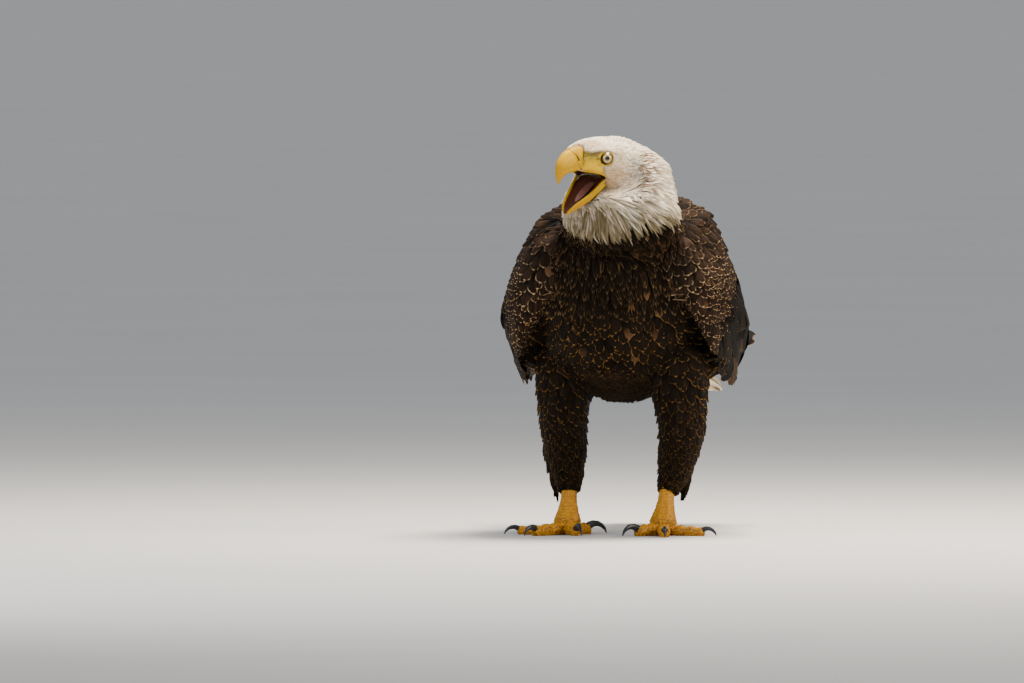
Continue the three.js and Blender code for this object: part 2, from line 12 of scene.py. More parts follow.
import bmesh
import bpy
import numpy as np
from mathutils import Matrix, Vector, noise
from mathutils.bvhtree import BVHTree
from mathutils.kdtree import KDTree

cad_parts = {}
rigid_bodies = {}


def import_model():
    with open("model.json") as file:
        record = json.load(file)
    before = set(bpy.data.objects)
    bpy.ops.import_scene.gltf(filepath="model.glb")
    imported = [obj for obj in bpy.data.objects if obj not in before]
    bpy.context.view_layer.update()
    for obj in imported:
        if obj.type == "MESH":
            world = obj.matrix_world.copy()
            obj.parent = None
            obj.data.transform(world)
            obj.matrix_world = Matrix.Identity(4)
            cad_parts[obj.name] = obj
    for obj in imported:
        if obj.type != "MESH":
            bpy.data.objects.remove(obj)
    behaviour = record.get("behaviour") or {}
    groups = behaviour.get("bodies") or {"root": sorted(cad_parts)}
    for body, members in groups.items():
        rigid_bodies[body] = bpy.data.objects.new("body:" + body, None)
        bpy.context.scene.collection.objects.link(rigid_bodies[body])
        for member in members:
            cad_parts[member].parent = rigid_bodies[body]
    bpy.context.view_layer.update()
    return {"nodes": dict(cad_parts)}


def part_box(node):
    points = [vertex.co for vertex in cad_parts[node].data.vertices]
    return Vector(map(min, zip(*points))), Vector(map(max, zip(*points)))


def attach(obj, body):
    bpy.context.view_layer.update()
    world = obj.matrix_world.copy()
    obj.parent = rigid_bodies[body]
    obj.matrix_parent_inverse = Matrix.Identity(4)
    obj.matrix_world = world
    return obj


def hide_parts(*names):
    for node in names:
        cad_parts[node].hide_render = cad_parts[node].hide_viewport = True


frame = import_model()
solids = frame["nodes"]
MM = 0.001

# %% [markdown]
# ## Two drawing frames
# Places on the body are easiest to think of in millimetres, with the soles on the floor and the bird
# facing -Y. Places on the head are easier still with the midpoint of the eyes at the origin. The two eye
# solids say where the head is and how far it is turned, so both frames follow the construction.

# %% The body's and the head's frame
EYES_DRAWN = Vector((-22, -168, 552))  # the midpoint of the eyes in the body's frame


def middle(node):
    low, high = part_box(node)
    return (low + high) / 2


eye_line = middle("eye_left") - middle("eye_right")
between_eyes = (middle("eye_left") + middle("eye_right")) / 2
head_yaw = math.atan2(eye_line.y, eye_line.x)
head_roll = -math.asin(eye_line.z / eye_line.length)
EYE_SIDE = eye_line.length / 2 / MM
turned = Matrix.Rotation(head_yaw, 4, "Z") @ Matrix.Rotation(head_roll, 4, "Y")
HEAD = Matrix.Translation(between_eyes) @ turned @ Matrix.Scale(MM, 4)
BODY = Matrix.Translation(between_eyes - EYES_DRAWN * MM) @ Matrix.Scale(MM, 4)


def moved(points, matrix):
    """The points of an array (..., 3) carried through a 4 by 4 matrix."""
    m = np.array(matrix)
    return np.asarray(points, float) @ m[:3, :3].T + m[:3, 3]


def in_body(points):
    """Places of the world in the body's frame, in mm."""
    return moved(points, BODY.inverted())


def in_head(points):
    return moved(points, HEAD.inverted())


def turned_only(vectors, matrix):
    m = np.array(matrix)[:3, :3]
    out = np.asarray(vectors, float) @ m.T
    return out / np.maximum(1e-12, np.linalg.norm(out, axis=-1, keepdims=True))


print("head turned", round(math.degrees(head_yaw)), "rolled", round(math.degrees(head_roll)), "degrees")

# %% [markdown]
# ## Camera, floor and light
# A bird this wary is seen from far off, so the lens is long and the perspective flat. The floor is a plain
# pale sheet. The light comes mostly from above, so the white crown glows and the breast stays dim, with a
# broad weak light from the front to keep the dark feathers readable.

# %% The camera
VIEW_AZIMUTH = 8
VIEW_RISE = 1.5
LENS = 600
SENSOR = 36
PICTURE_WIDTH = 1024
MM_PER_DOT = 1.45  # how much of the bird one dot of the picture covers
AIM_ACROSS = -159.5  # middle of the picture, measured across the view from the body's origin
AIM_HEIGHT = 280.6

azimuth = math.radians(VIEW_AZIMUTH)
rise = math.radians(VIEW_RISE)
across = Vector((math.cos(azimuth), math.sin(azimuth), 0))
towards = Vector((math.sin(azimuth) * math.cos(rise), -math.cos(azimuth) * math.cos(rise), math.sin(rise)))
distance = PICTURE_WIDTH * MM_PER_DOT * LENS / SENSOR
aim = across * AIM_ACROSS + Vector((0, 0, AIM_HEIGHT / math.cos(rise)))
camera = bpy.data.objects.new("camera", bpy.data.cameras.new("camera"))
camera.data.lens = LENS
camera.data.sensor_width = SENSOR
camera.data.clip_start = 0.5
camera.data.clip_end = 500
camera.location = BODY @ (aim + towards * distance)
camera.rotation_euler = towards.to_track_quat("Z", "Y").to_euler()
bpy.context.scene.collection.objects.link(camera)
bpy.context.scene.camera = camera
print("camera", round((camera.location - between_eyes).length, 2), "m from the head")

# %% Colours and nodes
def colour(code):
    """A colour written as sRGB hex, turned to linear."""
    parts = [int(code[i : i + 2], 16) / 255 for i in (1, 3, 5)]
    return (*[c / 12.92 if c <= 0.04045 else ((c + 0.055) / 1.055) ** 2.4 for c in parts], 1)


def add(tree, kind, settings=None, sockets=None):
    """Adds a node, sets its properties, and gives each input a value or a link from another node."""
    node = tree.nodes.new(kind)
    for key, value in (settings or {}).items():
        setattr(node, key, value)
    for key, value in (sockets or {}).items():
        usable = [s for s in node.inputs if s.enabled]
        socket = usable[key] if isinstance(key, int) else next(s for s in usable if s.name == key)
        if isinstance(value, bpy.types.Node):
            value = next(s for s in value.outputs if s.enabled)
        if isinstance(value, bpy.types.NodeSocket):
            tree.links.new(value, socket)
        else:
            socket.default_value = value
    return node


MATH = "ShaderNodeMath"
MIX = "ShaderNodeMix"
READ = "ShaderNodeAttribute"
EASE = "ShaderNodeMapRange"  # its inputs are the value, then where it starts and where it is full
SMOOTH = {"interpolation_type": "SMOOTHSTEP"}
TIMES = {"operation": "MULTIPLY"}
TIMES_PLUS = {"operation": "MULTIPLY_ADD"}
BLEND = {"data_type": "RGBA"}
TINT = {"data_type": "RGBA", "blend_type": "MULTIPLY"}


def new_material(name):
    material = bpy.data.materials.new(name)
    material.use_nodes = True
    material.node_tree.nodes.clear()
    return material, material.node_tree


def clouded_material(name, scale, detail=4.0):
    """Starts a material with what most need: places on the object, and a soft noise over them."""
    material, tree = new_material(name)
    place = add(tree, "ShaderNodeTexCoord").outputs["Object"]
    cloud = add(tree, "ShaderNodeTexNoise", None, {"Vector": place, "Scale": scale, "Detail": detail})
    return material, tree, place, cloud


def finish_material(tree, **sockets):
    named = {key.replace("_", " "): value for key, value in sockets.items()}
    shader = add(tree, "ShaderNodeBsdfPrincipled", None, named)
    add(tree, "ShaderNodeOutputMaterial", None, {"Surface": shader})

# %% Floor and lights
def floor_material():
    # Seamless studio vinyl: matt, pale grey, with a faint unevenness that keeps it from looking like a void.
    material, tree, _, cloud = clouded_material("matt_vinyl", 1.5, 3.0)
    shade = add(tree, MIX, BLEND, {"Factor": cloud, "A": colour("#b9b8b5"), "B": colour("#c3c2bf")})
    finish_material(tree, Base_Color=shade, Roughness=0.75)
    return material


FLOOR_REACH = 200  # metres, so that no edge of it is ever seen
floor_mesh = bpy.data.meshes.new("floor")
corners = [(-1, -1), (1, -1), (1, 1), (-1, 1)]
floor_mesh.from_pydata([(x * FLOOR_REACH, y * FLOOR_REACH, 0) for x, y in corners], [], [(0, 1, 2, 3)])
floor_mesh.materials.append(floor_material())
floor = bpy.data.objects.new("floor", floor_mesh)
bpy.context.scene.collection.objects.link(floor)


BREAST = Vector((0, -0.1, 0.35))  # metres


def softbox(name, place, size, power, tint):
    """A square light that looks at the bird's breast from a place given in metres."""
    light = bpy.data.lights.new(name, "AREA")
    light.size = size
    light.energy = power
    light.color = colour(tint)[:3]
    lamp = bpy.data.objects.new(name, light)
    lamp.location = place
    lamp.rotation_euler = (Vector(place) - BREAST).to_track_quat("Z", "Y").to_euler()
    bpy.context.scene.collection.objects.link(lamp)


softbox("light_top", (0.5, 0.1, 2.6), 1.1, 250, "#fff3e2")
softbox("light_front", (-1.6, -2.8, 1.5), 1.6, 62, "#f4f6ff")
softbox("light_side", (2.4, -0.8, 1.3), 0.9, 60, "#fff0dc")
world = bpy.data.worlds.new("studio")
world.use_nodes = True
daylight = world.node_tree.nodes["Background"].inputs
daylight["Color"].default_value = colour("#dfe3ea")
daylight["Strength"].default_value = 0.78
bpy.context.scene.world = world

# %% [markdown]
# ## How the plumage lies
# Feathers grow in tracts, and each tract is combed one way. A short table of guides says, at some places
# on the bird, which way the feathers point, how long and wide they are, and how deep the coat is there.
# Everything between the guides is blended from the nearest ones, so the lie changes smoothly.

# %% The guides
# Place, direction, then length, width and coat depth, in mm. The first table is in the head's frame.
HEAD_GUIDES = [
    ((0, -38, 15), (0, 1, 0.3), 4.5, 1.9, 1.0),
    ((20, -34, 4), (0.2, 1, 0.1), 3, 1.2, 0.5),
    ((24, -26, -16), (0.2, 1, -0.1), 3.5, 1.4, 0.6),
    ((0, -14, 24), (0, 1, 0.1), 6.5, 2.4, 1.6),
    ((29, -8, 17), (0, 1, 0.05), 5, 1.9, 1.0),
    ((32, -14, 4), (0.2, 1, -0.1), 3, 1.2, 0.5),
    ((33, 6, -14), (0, 1, -0.3), 5.5, 2, 1.1),
    ((36, 16, 6), (0, 1, -0.1), 6.5, 2.4, 1.5),
    ((0, 20, 28), (0, 1, -0.05), 9, 3, 2.4),
    ((0, 52, 28), (0, 1, -0.2), 15, 4, 4),
    ((42, 40, 2), (0, 1, -0.25), 12, 3.6, 3),
    ((30, 14, -34), (0.1, 1, -0.35), 9, 3, 2.4),
    ((40, 34, -24), (0.1, 1, -0.3), 13, 3.8, 3.4),
    ((44, 62, -24), (0.1, 1, -0.3), 20, 4.6, 5),
    ((0, 82, 20), (0, 1, -0.5), 22, 5, 6),
    ((0, -30, -74), (0, 0.3, -1), 11, 3, 3),
    ((18, -8, -64), (0.3, 0.8, -0.6), 12, 3.2, 3.2),
    ((0, 10, -88), (0.1, 0.3, -1), 20, 4.4, 5.5),
    ((30, 30, -66), (0.5, 0.8, -0.6), 20, 4.4, 5.5),
]
# The neck's feathers fan out from the corner of the open mouth, which is turned away to one side.
NECK_GUIDES = [
    ((-24, -190, 463), (-0.05, -0.1, -1), 34, 6, 8),
    ((-2, -192, 452), (0.17, 0, -1), 36, 6.5, 8),
    ((20, -188, 464), (0.45, 0.1, -0.9), 36, 6.5, 8),
    ((42, -185, 452), (0.45, 0.15, -0.9), 36, 6.5, 8),
    ((30, -188, 486), (0.7, 0.3, -0.6), 32, 6, 8),
    ((57, -170, 480), (0.7, 0.45, -0.6), 34, 6.5, 8),
    ((67, -165, 452), (0.45, 0.4, -0.8), 36, 6.5, 8),
    ((80, -140, 474), (0.5, 0.65, -0.7), 36, 6.5, 8),
    ((86, -140, 450), (0.3, 0.4, -0.9), 36, 7, 8),
    ((78, -125, 499), (0.5, 0.7, -0.55), 32, 6.5, 8),
    ((84, -115, 513), (0.4, 0.8, -0.5), 30, 6.5, 8),
    ((66, -112, 541), (0.4, 0.85, -0.5), 26, 6, 7.5),
    ((20, -62, 505), (0.05, 0.6, -0.9), 34, 8, 8),
    ((-30, -70, 490), (-0.2, 0.5, -0.9), 34, 8, 8),
    ((-58, -150, 478), (-0.3, 0.1, -1), 34, 7, 8),
    ((-66, -120, 470), (-0.4, 0.4, -0.9), 34, 7, 8),
]
BODY_GUIDES = [
    ((0, -190, 420), (0, -0.05, -1), 34, 10, 8),
    ((60, -175, 420), (0.1, 0.1, -1), 34, 10, 8),
    ((0, -190, 385), (0, 0.05, -1), 36, 12, 8),
    ((80, -150, 385), (0.1, 0.1, -1), 34, 12, 8),
    ((0, -175, 340), (0, 0.15, -1), 36, 15, 7),
    ((70, -145, 320), (0, 0.2, -1), 34, 15, 7),
    ((30, -150, 290), (0, 0.3, -1), 32, 19, 6),
    ((80, -110, 285), (0, 0.3, -1), 30, 18, 6),
    ((0, -120, 250), (0, 0.6, -1), 32, 18, 7),
    ((60, -80, 240), (0, 0.5, -1), 32, 18, 7),
    ((0, -40, 200), (0, 1, -0.4), 36, 15, 8),
    ((50, 20, 200), (0, 1, -0.3), 36, 15, 8),
    ((0, 70, 190), (0, 1, 0.2), 44, 18, 8),
    ((0, 150, 225), (0, 1, 0), 56, 20, 6),
    ((30, 230, 235), (0, 1, -0.2), 60, 24, 4),
    ((0, -40, 480), (0, 0.8, -0.5), 36, 16, 7),
    ((0, 20, 455), (0, 1, -0.3), 42, 20, 7),
    ((0, 110, 375), (0, 1, -0.5), 46, 24, 6),
    ((0, 180, 300), (0, 1, -0.4), 54, 24, 5),
    ((0, 250, 262), (0, 1, -0.25), 64, 26, 4),
    ((80, -75, 495), (0.15, 0.8, -0.6), 32, 15, 6),
    ((80, 0, 490), (0.05, 1, -0.35), 44, 24, 6),
    ((70, 90, 440), (0.05, 1, -0.4), 54, 30, 5),
    ((56, 170, 370), (0, 1, -0.5), 60, 32, 5),
    ((120, -80, 450), (0.15, 0.7, -0.8), 32, 18, 5),
    ((110, -115, 420), (0.15, 0.3, -1), 30, 18, 5),
    ((140, 0, 430), (0.05, 1, -0.55), 44, 26, 5),
    ((140, -100, 405), (0.15, 0.6, -1), 20, 14, 4),
    ((146, -105, 370), (0.1, 0.6, -0.9), 15, 12, 3.5),
    ((150, -98, 335), (0.1, 0.7, -0.9), 17, 13, 3.5),
    ((104, -135, 360), (0, 0.2, -1), 32, 18, 5),
    ((166, -60, 370), (0, 0.9, -0.7), 20, 15, 4),
    ((166, -50, 325), (0, 0.9, -0.6), 24, 16, 4),
    ((140, -95, 295), (0, 0.8, -0.8), 24, 13, 4),
    ((172, -10, 370), (0, 1, -0.5), 34, 22, 4),
    ((174, 0, 310), (0, 1, -0.35), 36, 20, 4),
    ((172, 60, 350), (0, 1, -0.45), 44, 26, 4),
    ((164, 120, 310), (0, 1, -0.3), 52, 28, 4),
    ((150, 120, 250), (0, 1, 0), 56, 24, 3),
    ((130, 280, 260), (0, 1, 0), 60, 24, 2),
    ((110, -10, 245), (0, 0.1, -1), 32, 16, 7),
    ((60, 0, 230), (0, 0.2, -1), 30, 14, 7),
    ((92, -30, 190), (0, 0.1, -1), 28, 13, 6),
    ((92, 50, 190), (0, 0.2, -1), 32, 12, 6),
    ((85, 10, 130), (0, 0.1, -1), 22, 9, 5),
    ((76, 20, 70), (0, 0.1, -1), 14, 5.5, 3),
    ((100, 50, 110), (0, 0.1, -1), 34, 8, 5),
]


def placed_guides(rows, matrix, sides=(1, -1)):
    """Guide rows in the world's frame, each repeated on the given sides of the middle plane."""
    out = []
    for place, lie, length, width, depth in rows:
        for side in sides if place[0] else (1,):
            p = moved((side * place[0], place[1], place[2]), matrix)
            d = turned_only((side * lie[0], lie[1], lie[2]), matrix)
            out.append([*p, *d, length, width, depth])
    return out


guides = placed_guides(HEAD_GUIDES, HEAD)
guides += placed_guides(NECK_GUIDES, BODY, (1,))
guides += placed_guides(BODY_GUIDES, BODY)
guides = np.array(guides)
print("guides:", len(guides))


def combed(points):
    """Lie direction, and length, width and depth in metres, blended from the nearest guides."""
    total = np.zeros(len(points))
    blend = np.zeros((len(points), 6))
    for row in guides:
        far = ((points - row[:3]) ** 2).sum(1) + (4 * MM) ** 2
        weight = far**-2.5  # steep, so that only the nearest few guides count
        total += weight
        blend += weight[:, None] * row[3:]
    blend /= total[:, None]
    lie = blend[:, :3] / np.maximum(1e-9, np.linalg.norm(blend[:, :3], axis=1))[:, None]
    return lie, blend[:, 3] * MM, blend[:, 4] * MM, blend[:, 5] * MM

# %% [markdown]
# ## The skin
# A plucked bird is one unbroken surface, so the separate flesh solids are joined, remeshed with voxels
# into a single skin and smoothed. It is then drawn inwards by the coat's depth, which leaves room for the
# feathers: their tips, not the skin, reach the outline of the solids.

# %% Join the flesh into one mesh
FLESH_WORDS = ("head", "chin", "neck", "trunk", "tail", "wing_", "thigh_")
FLESH = [name for name in solids if name.startswith(FLESH_WORDS)]


def mesh_object(name, mesh):
    piece = bpy.data.objects.new(name, mesh)
    bpy.context.scene.collection.objects.link(piece)
    return piece


def merged(names, swell):
    """Copies of solids in one mesh, with doubles merged and each surface swollen to close the thin gaps."""
    shape = bmesh.new()
    for name in names:
        shape.from_mesh(solids[name].data)
    bmesh.ops.remove_doubles(shape, verts=shape.verts, dist=0.01 * MM)
    shape.normal_update()
    for vertex in shape.verts:
        vertex.co += vertex.normal * swell
    mesh = bpy.data.meshes.new("merged")
    shape.to_mesh(mesh)
    shape.free()
    return mesh


def applied(piece):
    """Turns what a piece's modifiers make into its plain mesh."""
    whole = bpy.data.meshes.new_from_object(piece.evaluated_get(bpy.context.evaluated_depsgraph_get()))
    piece.modifiers.clear()
    piece.data = whole
    return piece


def remeshed(name, mesh, voxel):
    piece = mesh_object(name, mesh)
    modifier = piece.modifiers.new("voxels", "REMESH")
    modifier.mode = "VOXEL"
    modifier.voxel_size = voxel
    modifier.use_smooth_shade = True
    return applied(piece)


def places(mesh):
    flat = np.empty(len(mesh.vertices) * 3, np.float32)
    mesh.vertices.foreach_get("co", flat)
    return flat.reshape(-1, 3).astype(float)


def set_places(mesh, points):
    mesh.vertices.foreach_set("co", np.asarray(points, np.float32).ravel())
    mesh.update()


def normals(mesh):
    flat = np.empty(len(mesh.vertices) * 3, np.float32)
    mesh.vertex_normals.foreach_get("vector", flat)
    return flat.reshape(-1, 3).astype(float)


def edge_ends(mesh):
    ends = np.empty(len(mesh.edges) * 2, np.int32)
    mesh.edges.foreach_get("vertices", ends)
    return ends.reshape(-1, 2).T


def pull_of(points, a, b):
    """From each point to the middle of its neighbours."""
    count = len(points)
    links = np.maximum(1, np.bincount(a, minlength=count) + np.bincount(b, minlength=count))
    total = [np.bincount(a, points[b, k], count) + np.bincount(b, points[a, k], count) for k in range(3)]
    return np.stack(total, 1) / links[:, None] - points


def relaxed(mesh, rounds, share):
    """Smooths a mesh without shrinking it, by steps in and out. share is each vertex's part in it."""
    a, b = edge_ends(mesh)
    points = places(mesh)
    for step in range(rounds * 2):
        gain = 0.6 if step % 2 == 0 else -0.62
        points += gain * share[:, None] * pull_of(points, a, b)
    set_places(mesh, points)


def filled(mesh, rounds, share):
    """Fills hollows only: a vertex moves towards its neighbours where that is outwards."""
    a, b = edge_ends(mesh)
    points = places(mesh)
    for step in range(rounds):
        if step % 10 == 0:
            set_places(mesh, points)
            outward = normals(mesh)
        rise = np.maximum(0, (pull_of(points, a, b) * outward).sum(1))
        points += (share * rise)[:, None] * outward
    set_places(mesh, points)


def keep_largest(mesh):
    """Drops the bubbles that remeshing leaves inside."""
    shape = bmesh.new()
    shape.from_mesh(mesh)
    shape.verts.ensure_lookup_table()
    left = set(shape.verts)
    parts = []
    while left:
        heap = [left.pop()]
        part = set(heap)
        while heap:
            for edge in heap.pop().link_edges:
                for vertex in edge.verts:
                    if vertex in left:
                        left.discard(vertex)
                        part.add(vertex)
                        heap.append(vertex)
        parts.append(part)
    parts.sort(key=len)
    bubbles = [vertex for part in parts[:-1] for vertex in part]
    bmesh.ops.delete(shape, geom=bubbles, context="VERTS")
    shape.to_mesh(mesh)
    shape.free()
    return len(parts)


SKIN_VOXEL = 3.4 * MM
sockets = ["eye_left", "eye_right"]  # the sockets are filled first, and sunk again behind the lids
skin = remeshed("skin", merged(FLESH + sockets, 0.5 * MM), SKIN_VOXEL)
print("skin:", keep_largest(skin.data), "parts, the largest has", len(skin.data.vertices), "vertices")

# %% Round off the facets, less on the face, and fill the folds behind the skull and under the cheek
NAPE = (24, -104, 556)
CHEEK_FOLD = (32, -178, 493)


def ramp(values, start, full):
    """Shares that rise evenly from 0 at start to 1 at full, and stay level beyond both."""
    return np.clip((values - start) / (full - start), 0, 1)


drawn_head = in_head(places(skin.data))
ahead_of_ear = ramp(drawn_head[:, 1], 30, 0) * ramp(drawn_head[:, 2], 16, 8)
face_share = ahead_of_ear * ramp(np.linalg.norm(drawn_head, axis=1), 100, 80)
relaxed(skin.data, 22, 1 - 0.8 * face_share)
aside, back, high = in_head(places(skin.data)).T
on_top = ramp(high, 8, 16) * ramp(back, -40, -30) * ramp(back, 85, 70)
relaxed(skin.data, 30, on_top * ramp(np.abs(aside), 60, 45))
for place, reach, rounds in ((NAPE, 70, 40), (CHEEK_FOLD, 42, 60)):
    away = np.linalg.norm(in_body(places(skin.data)) - place, axis=1)
    filled(skin.data, rounds, ramp(away, reach, reach - 20) * (1 - 0.8 * face_share))
aside, back, high = in_body(places(skin.data)).T
on_back = ramp(np.abs(aside), 85, 65) * ramp(back, -85, -65)
on_back = on_back * ramp(high, 290, 320) * ramp(back, 225, 195)
filled(skin.data, 70, on_back)
under_collar = ramp(back, -95, -115) * ramp(high, 480, 465)
under_collar = under_collar * ramp(high, 350, 370) * ramp(np.abs(aside), 105, 90)
filled(skin.data, 50, under_collar)

# %% [markdown]
# The face needs finer skin than the body, because lids, lores and lips are only a millimetre or two
# thick. So the quads round the face are cut in four, twice.

# %% Finer skin on the face
FACE_MIDDLE = (0, -10, -12)  # in the head's frame
FACE_REACH = 50 * MM


def cut_finer(mesh, centre, reach):
    shape = bmesh.new()
    shape.from_mesh(mesh)
    inner = [e for e in shape.edges if all((v.co - centre).length < reach for v in e.verts)]
    bmesh.ops.subdivide_edges(shape, edges=inner, cuts=1, use_grid_fill=True)
    shape.to_mesh(mesh)
    shape.free()


face_centre = HEAD @ Vector(FACE_MIDDLE)
for reach in (FACE_REACH, FACE_REACH * 0.92):
    cut_finer(skin.data, face_centre, reach)
    near_face = np.linalg.norm(places(skin.data) - np.array(face_centre), axis=1) < reach
    relaxed(skin.data, 3, near_face * 0.8)
print("skin with face:", len(skin.data.vertices), "vertices")

# %% Draw the skin inwards
def bvh_of(mesh):
    return BVHTree.FromPolygons([v.co for v in mesh.vertices], [p.vertices for p in mesh.polygons])


outer_form = bvh_of(skin.data)  # the outline that feather tips reach


def thickness(points, outward):
    """How deep the form is under each point."""
    deep = np.full(len(points), 0.1)
    for i, (p, n) in enumerate(zip(points, outward)):
        hit = outer_form.ray_cast(Vector(p - n * 0.4 * MM), Vector(-n), 0.1)
        if hit[0] is not None:
            deep[i] = hit[3]
    return deep


COAT_SHARE = 0.3  # the coat takes at most this share of a thin part, such as a wing
CROWN_DENT = (32, -108, 565)  # in the body's frame, between the skull and the neck
lie, length, width, depth = combed(places(skin.data))
outward = normals(skin.data)
coat_depth = np.minimum(depth, COAT_SHARE * thickness(places(skin.data), outward))
from_dent = np.linalg.norm(in_body(places(skin.data)) - CROWN_DENT, axis=1)
coat_depth -= 4 * MM * np.exp(-((from_dent / 20) ** 2))
set_places(skin.data, places(skin.data) - outward * coat_depth[:, None])
relaxed(skin.data, 2, 0.5 * (depth > 3 * MM))
print("coat depth, mm: least", round(coat_depth.min() / MM, 1), "most", round(coat_depth.max() / MM, 1))

# %% [markdown]
# ## Brow and eyelids
# An eagle's stare comes from the bony shelf over the eye, and from lids that close round the eyeball as a
# thin raised ring. The skin is pushed out along the brow, sunk behind the eyeball and raised again at the
# rim of the lids. It is done in the head's frame, on the fine faces that were cut there.

# %% Shape the brow and the lids
EYE_RADIUS = 11.0
LID_AXIS = np.array([0.80, -0.60, 0.02])  # the middle of the opening, seen from the ball's centre
LID_OPEN = 50  # degrees from that axis to the lid's edge
LID_RAISE = 0.9  # mm that the lid stands over the ball
BROW = [(19, -33, 9), (24, -21, 12), (30, -8, 13.5), (34, 6, 11)]


def along_line(points, line, reach):
    """1 on a line through given places, fading to 0 at about reach."""
    best = np.full(len(points), 1e9)
    for a, b in zip(np.array(line[:-1], float), np.array(line[1:], float)):
        t = np.clip(((points - a) @ (b - a)) / ((b - a) @ (b - a)), 0, 1)
        best = np.minimum(best, np.linalg.norm(points - a - t[:, None] * (b - a), axis=1))
    return np.exp(-((best / reach) ** 2))


def eye_angle(points, side):
    """Distance from an eyeball's centre, and degrees from the middle of the lids' opening."""
    arm = points - (side * EYE_SIDE, 0, 0)
    far = np.linalg.norm(arm, axis=1)
    aim = LID_AXIS / np.linalg.norm(LID_AXIS) * (side, 1, 1)
    return far, np.degrees(np.arccos(np.clip(arm @ aim / np.maximum(far, 1e-9), -1, 1)))


for side in (1, -1):
    cut_finer(skin.data, HEAD @ Vector((side * 32, -7, 0)), 15 * MM)
head_points = in_head(places(skin.data))
mirrored = np.abs(head_points[:, 0])
folded = np.column_stack([mirrored, head_points[:, 1:]])
brow = along_line(folded, BROW, 4.0)
lore_hollow = along_line(folded, [(17, -34, -2), (25, -20, -4)], 6)
under_eye = along_line(folded, [(27, -18, -11), (33, -5, -13)], 3)
push = 2.4 * brow - 1.3 * lore_hollow - 0.5 * under_eye
head_points += turned_only(normals(skin.data), HEAD.inverted()) * push[:, None]
for side in (1, -1):
    far, angle = eye_angle(head_points, side)
    near_ball = far < EYE_RADIUS * 1.7
    inside = ramp(angle, LID_OPEN + 3, LID_OPEN - 2) * near_ball
    ring = np.exp(-(((angle - LID_OPEN - 8) / 7) ** 2)) * near_ball * (1 - inside)
    wanted = np.where(inside > 0, EYE_RADIUS - 2.2, EYE_RADIUS + LID_RAISE)
    share = np.maximum(inside, ring)
    arm = head_points - (side * EYE_SIDE, 0, 0)
    new_far = far + share * (wanted - far)
    head_points = (side * EYE_SIDE, 0, 0) + arm * (new_far / np.maximum(far, 1e-9))[:, None]
set_places(skin.data, moved(head_points, HEAD))
print("skin with lids:", len(skin.data.vertices), "vertices")

# %% [markdown]
# ## Colours of the face
# Round the eye and in front of it the face is nearly bare. The skin there is as yellow as the cere, goes
# olive towards the brow, and has a dark line along the lids. A second dark line under the brow is painted
# shadow of the brow's shelf, and the inside of the open mouth is painted nearly black as its shade. These
# shares are worked out once, for the skin and for the edge of the feathers.

# %% Bare parts of the face
LORE = [
    [(14, -42, 5), (21, -29, 4), (26, -20, 6)],
    [(19, -36, -2), (27, -19, -6)],
    [(15, -41, -8), (22, -28, -10), (26, -18, -15)],
    [(12, -42, -15), (20, -29, -16), (27, -14, -19)],
]
# Where the painted shadow under the brow's shelf runs, in the head's frame.
BROW_SHADOW_LINE = [(19, -31, 5.5), (24, -19.5, 9.5), (29, -6.5, 10.5), (33.5, 7, 8)]
GAPE_LINE = [(9.2, -37.9), (19, -27.2), (26.2, -15.7), (29.2, -9.1), (24, 6.7)]  # the rim, as x and y
GAPE_Z = [-20, -20, -21.5, -23.5, -28.6]


def face_shares(points):
    """Shares of yellow, olive, dark line with painted brow shadow, and mouth, at places in the world's frame.
    """
    p = in_head(points)
    p = np.column_stack([np.abs(p[:, 0]), p[:, 1:]])
    far, angle = eye_angle(p, 1)
    on_ball = far < EYE_RADIUS * 1.75
    ring = ramp(angle, LID_OPEN + 14, LID_OPEN + 9) * on_ball
    lore = np.max([along_line(p, line, 7.5) for line in LORE], 0)
    lore = ramp(lore - 0.15, 0, 0.6) * ramp(p[:, 2], 11, 3)
    lid = np.clip(1.3 * np.exp(-(((angle - LID_OPEN) / 3.2) ** 2)), 0, 1) * on_ball
    corner = along_line(p, [(25.5, -19.5, -1), (28, -15, -1)], 1.6)
    crescent = 0.6 * along_line(p, [(26.5, -19, -9.5), (30, -11, -12.5), (34, -1, -11)], 1.3)
    # Painted shadow under the brow, drawn as a dark line.
    brow_shadow = 0.7 * along_line(p, BROW_SHADOW_LINE, 2.3)
    rim_x, rim_y = np.array(GAPE_LINE).T
    half = np.interp(p[:, 1], rim_y, rim_x)
    roof = np.interp(p[:, 1], rim_y, GAPE_Z) + 3.5
    floor_z = -28.6 - 0.78 * (7.5 - p[:, 1]) - 1
    inside = ramp(roof - p[:, 2], 0, 1.5) * ramp(p[:, 2] - floor_z, 0, 1.5)
    # The skin inside the open mouth; the skin's colour paints it near black, as shade deep in the mouth.
    mouth = inside * ramp(half + 1 - p[:, 0], 0, 1.5) * ramp(p[:, 1], 9, 7)
    return {
        "yellow": np.maximum(ring, lore),
        "ring": ring,
        "olive": ramp(p[:, 2], -9, 5) * np.clip(2 * lore, 0, 1) * (1 - ring),
        "line": np.clip(np.max([lid, corner, crescent, brow_shadow], 0), 0, 1),
        "mouth": np.clip(mouth, 0, 1),
    }


bare_shares = face_shares(places(skin.data))
print("bare face:", {key: int((value > 0.5).sum()) for key, value in bare_shares.items()})

# %% [markdown]
# ## Which part is which
# Markings and tracts follow the bird's parts, so each vertex of the skin looks up the nearest flesh solid.
# The skin is also unwrapped once, on its own shape. Every feather later gets a tiny patch of that map at
# the place where it is rooted, so colours baked for the plumage land where they grow.

# %% Parts of the skin
def part_finder(names):
    points, faces, owner = [], [], []
    for index, name in enumerate(names):
        mesh = solids[name].data
        start = len(points)
        points += [v.co.copy() for v in mesh.vertices]
        faces += [[start + i for i in p.vertices] for p in mesh.polygons]
        owner += [index] * len(mesh.polygons)
    return BVHTree.FromPolygons(points, faces), owner


def parts_at(points):
    """The name of the flesh solid nearest to each point."""
    return np.array([FLESH[part_owner[part_tree.find_nearest(Vector(p))[2]]] for p in points])


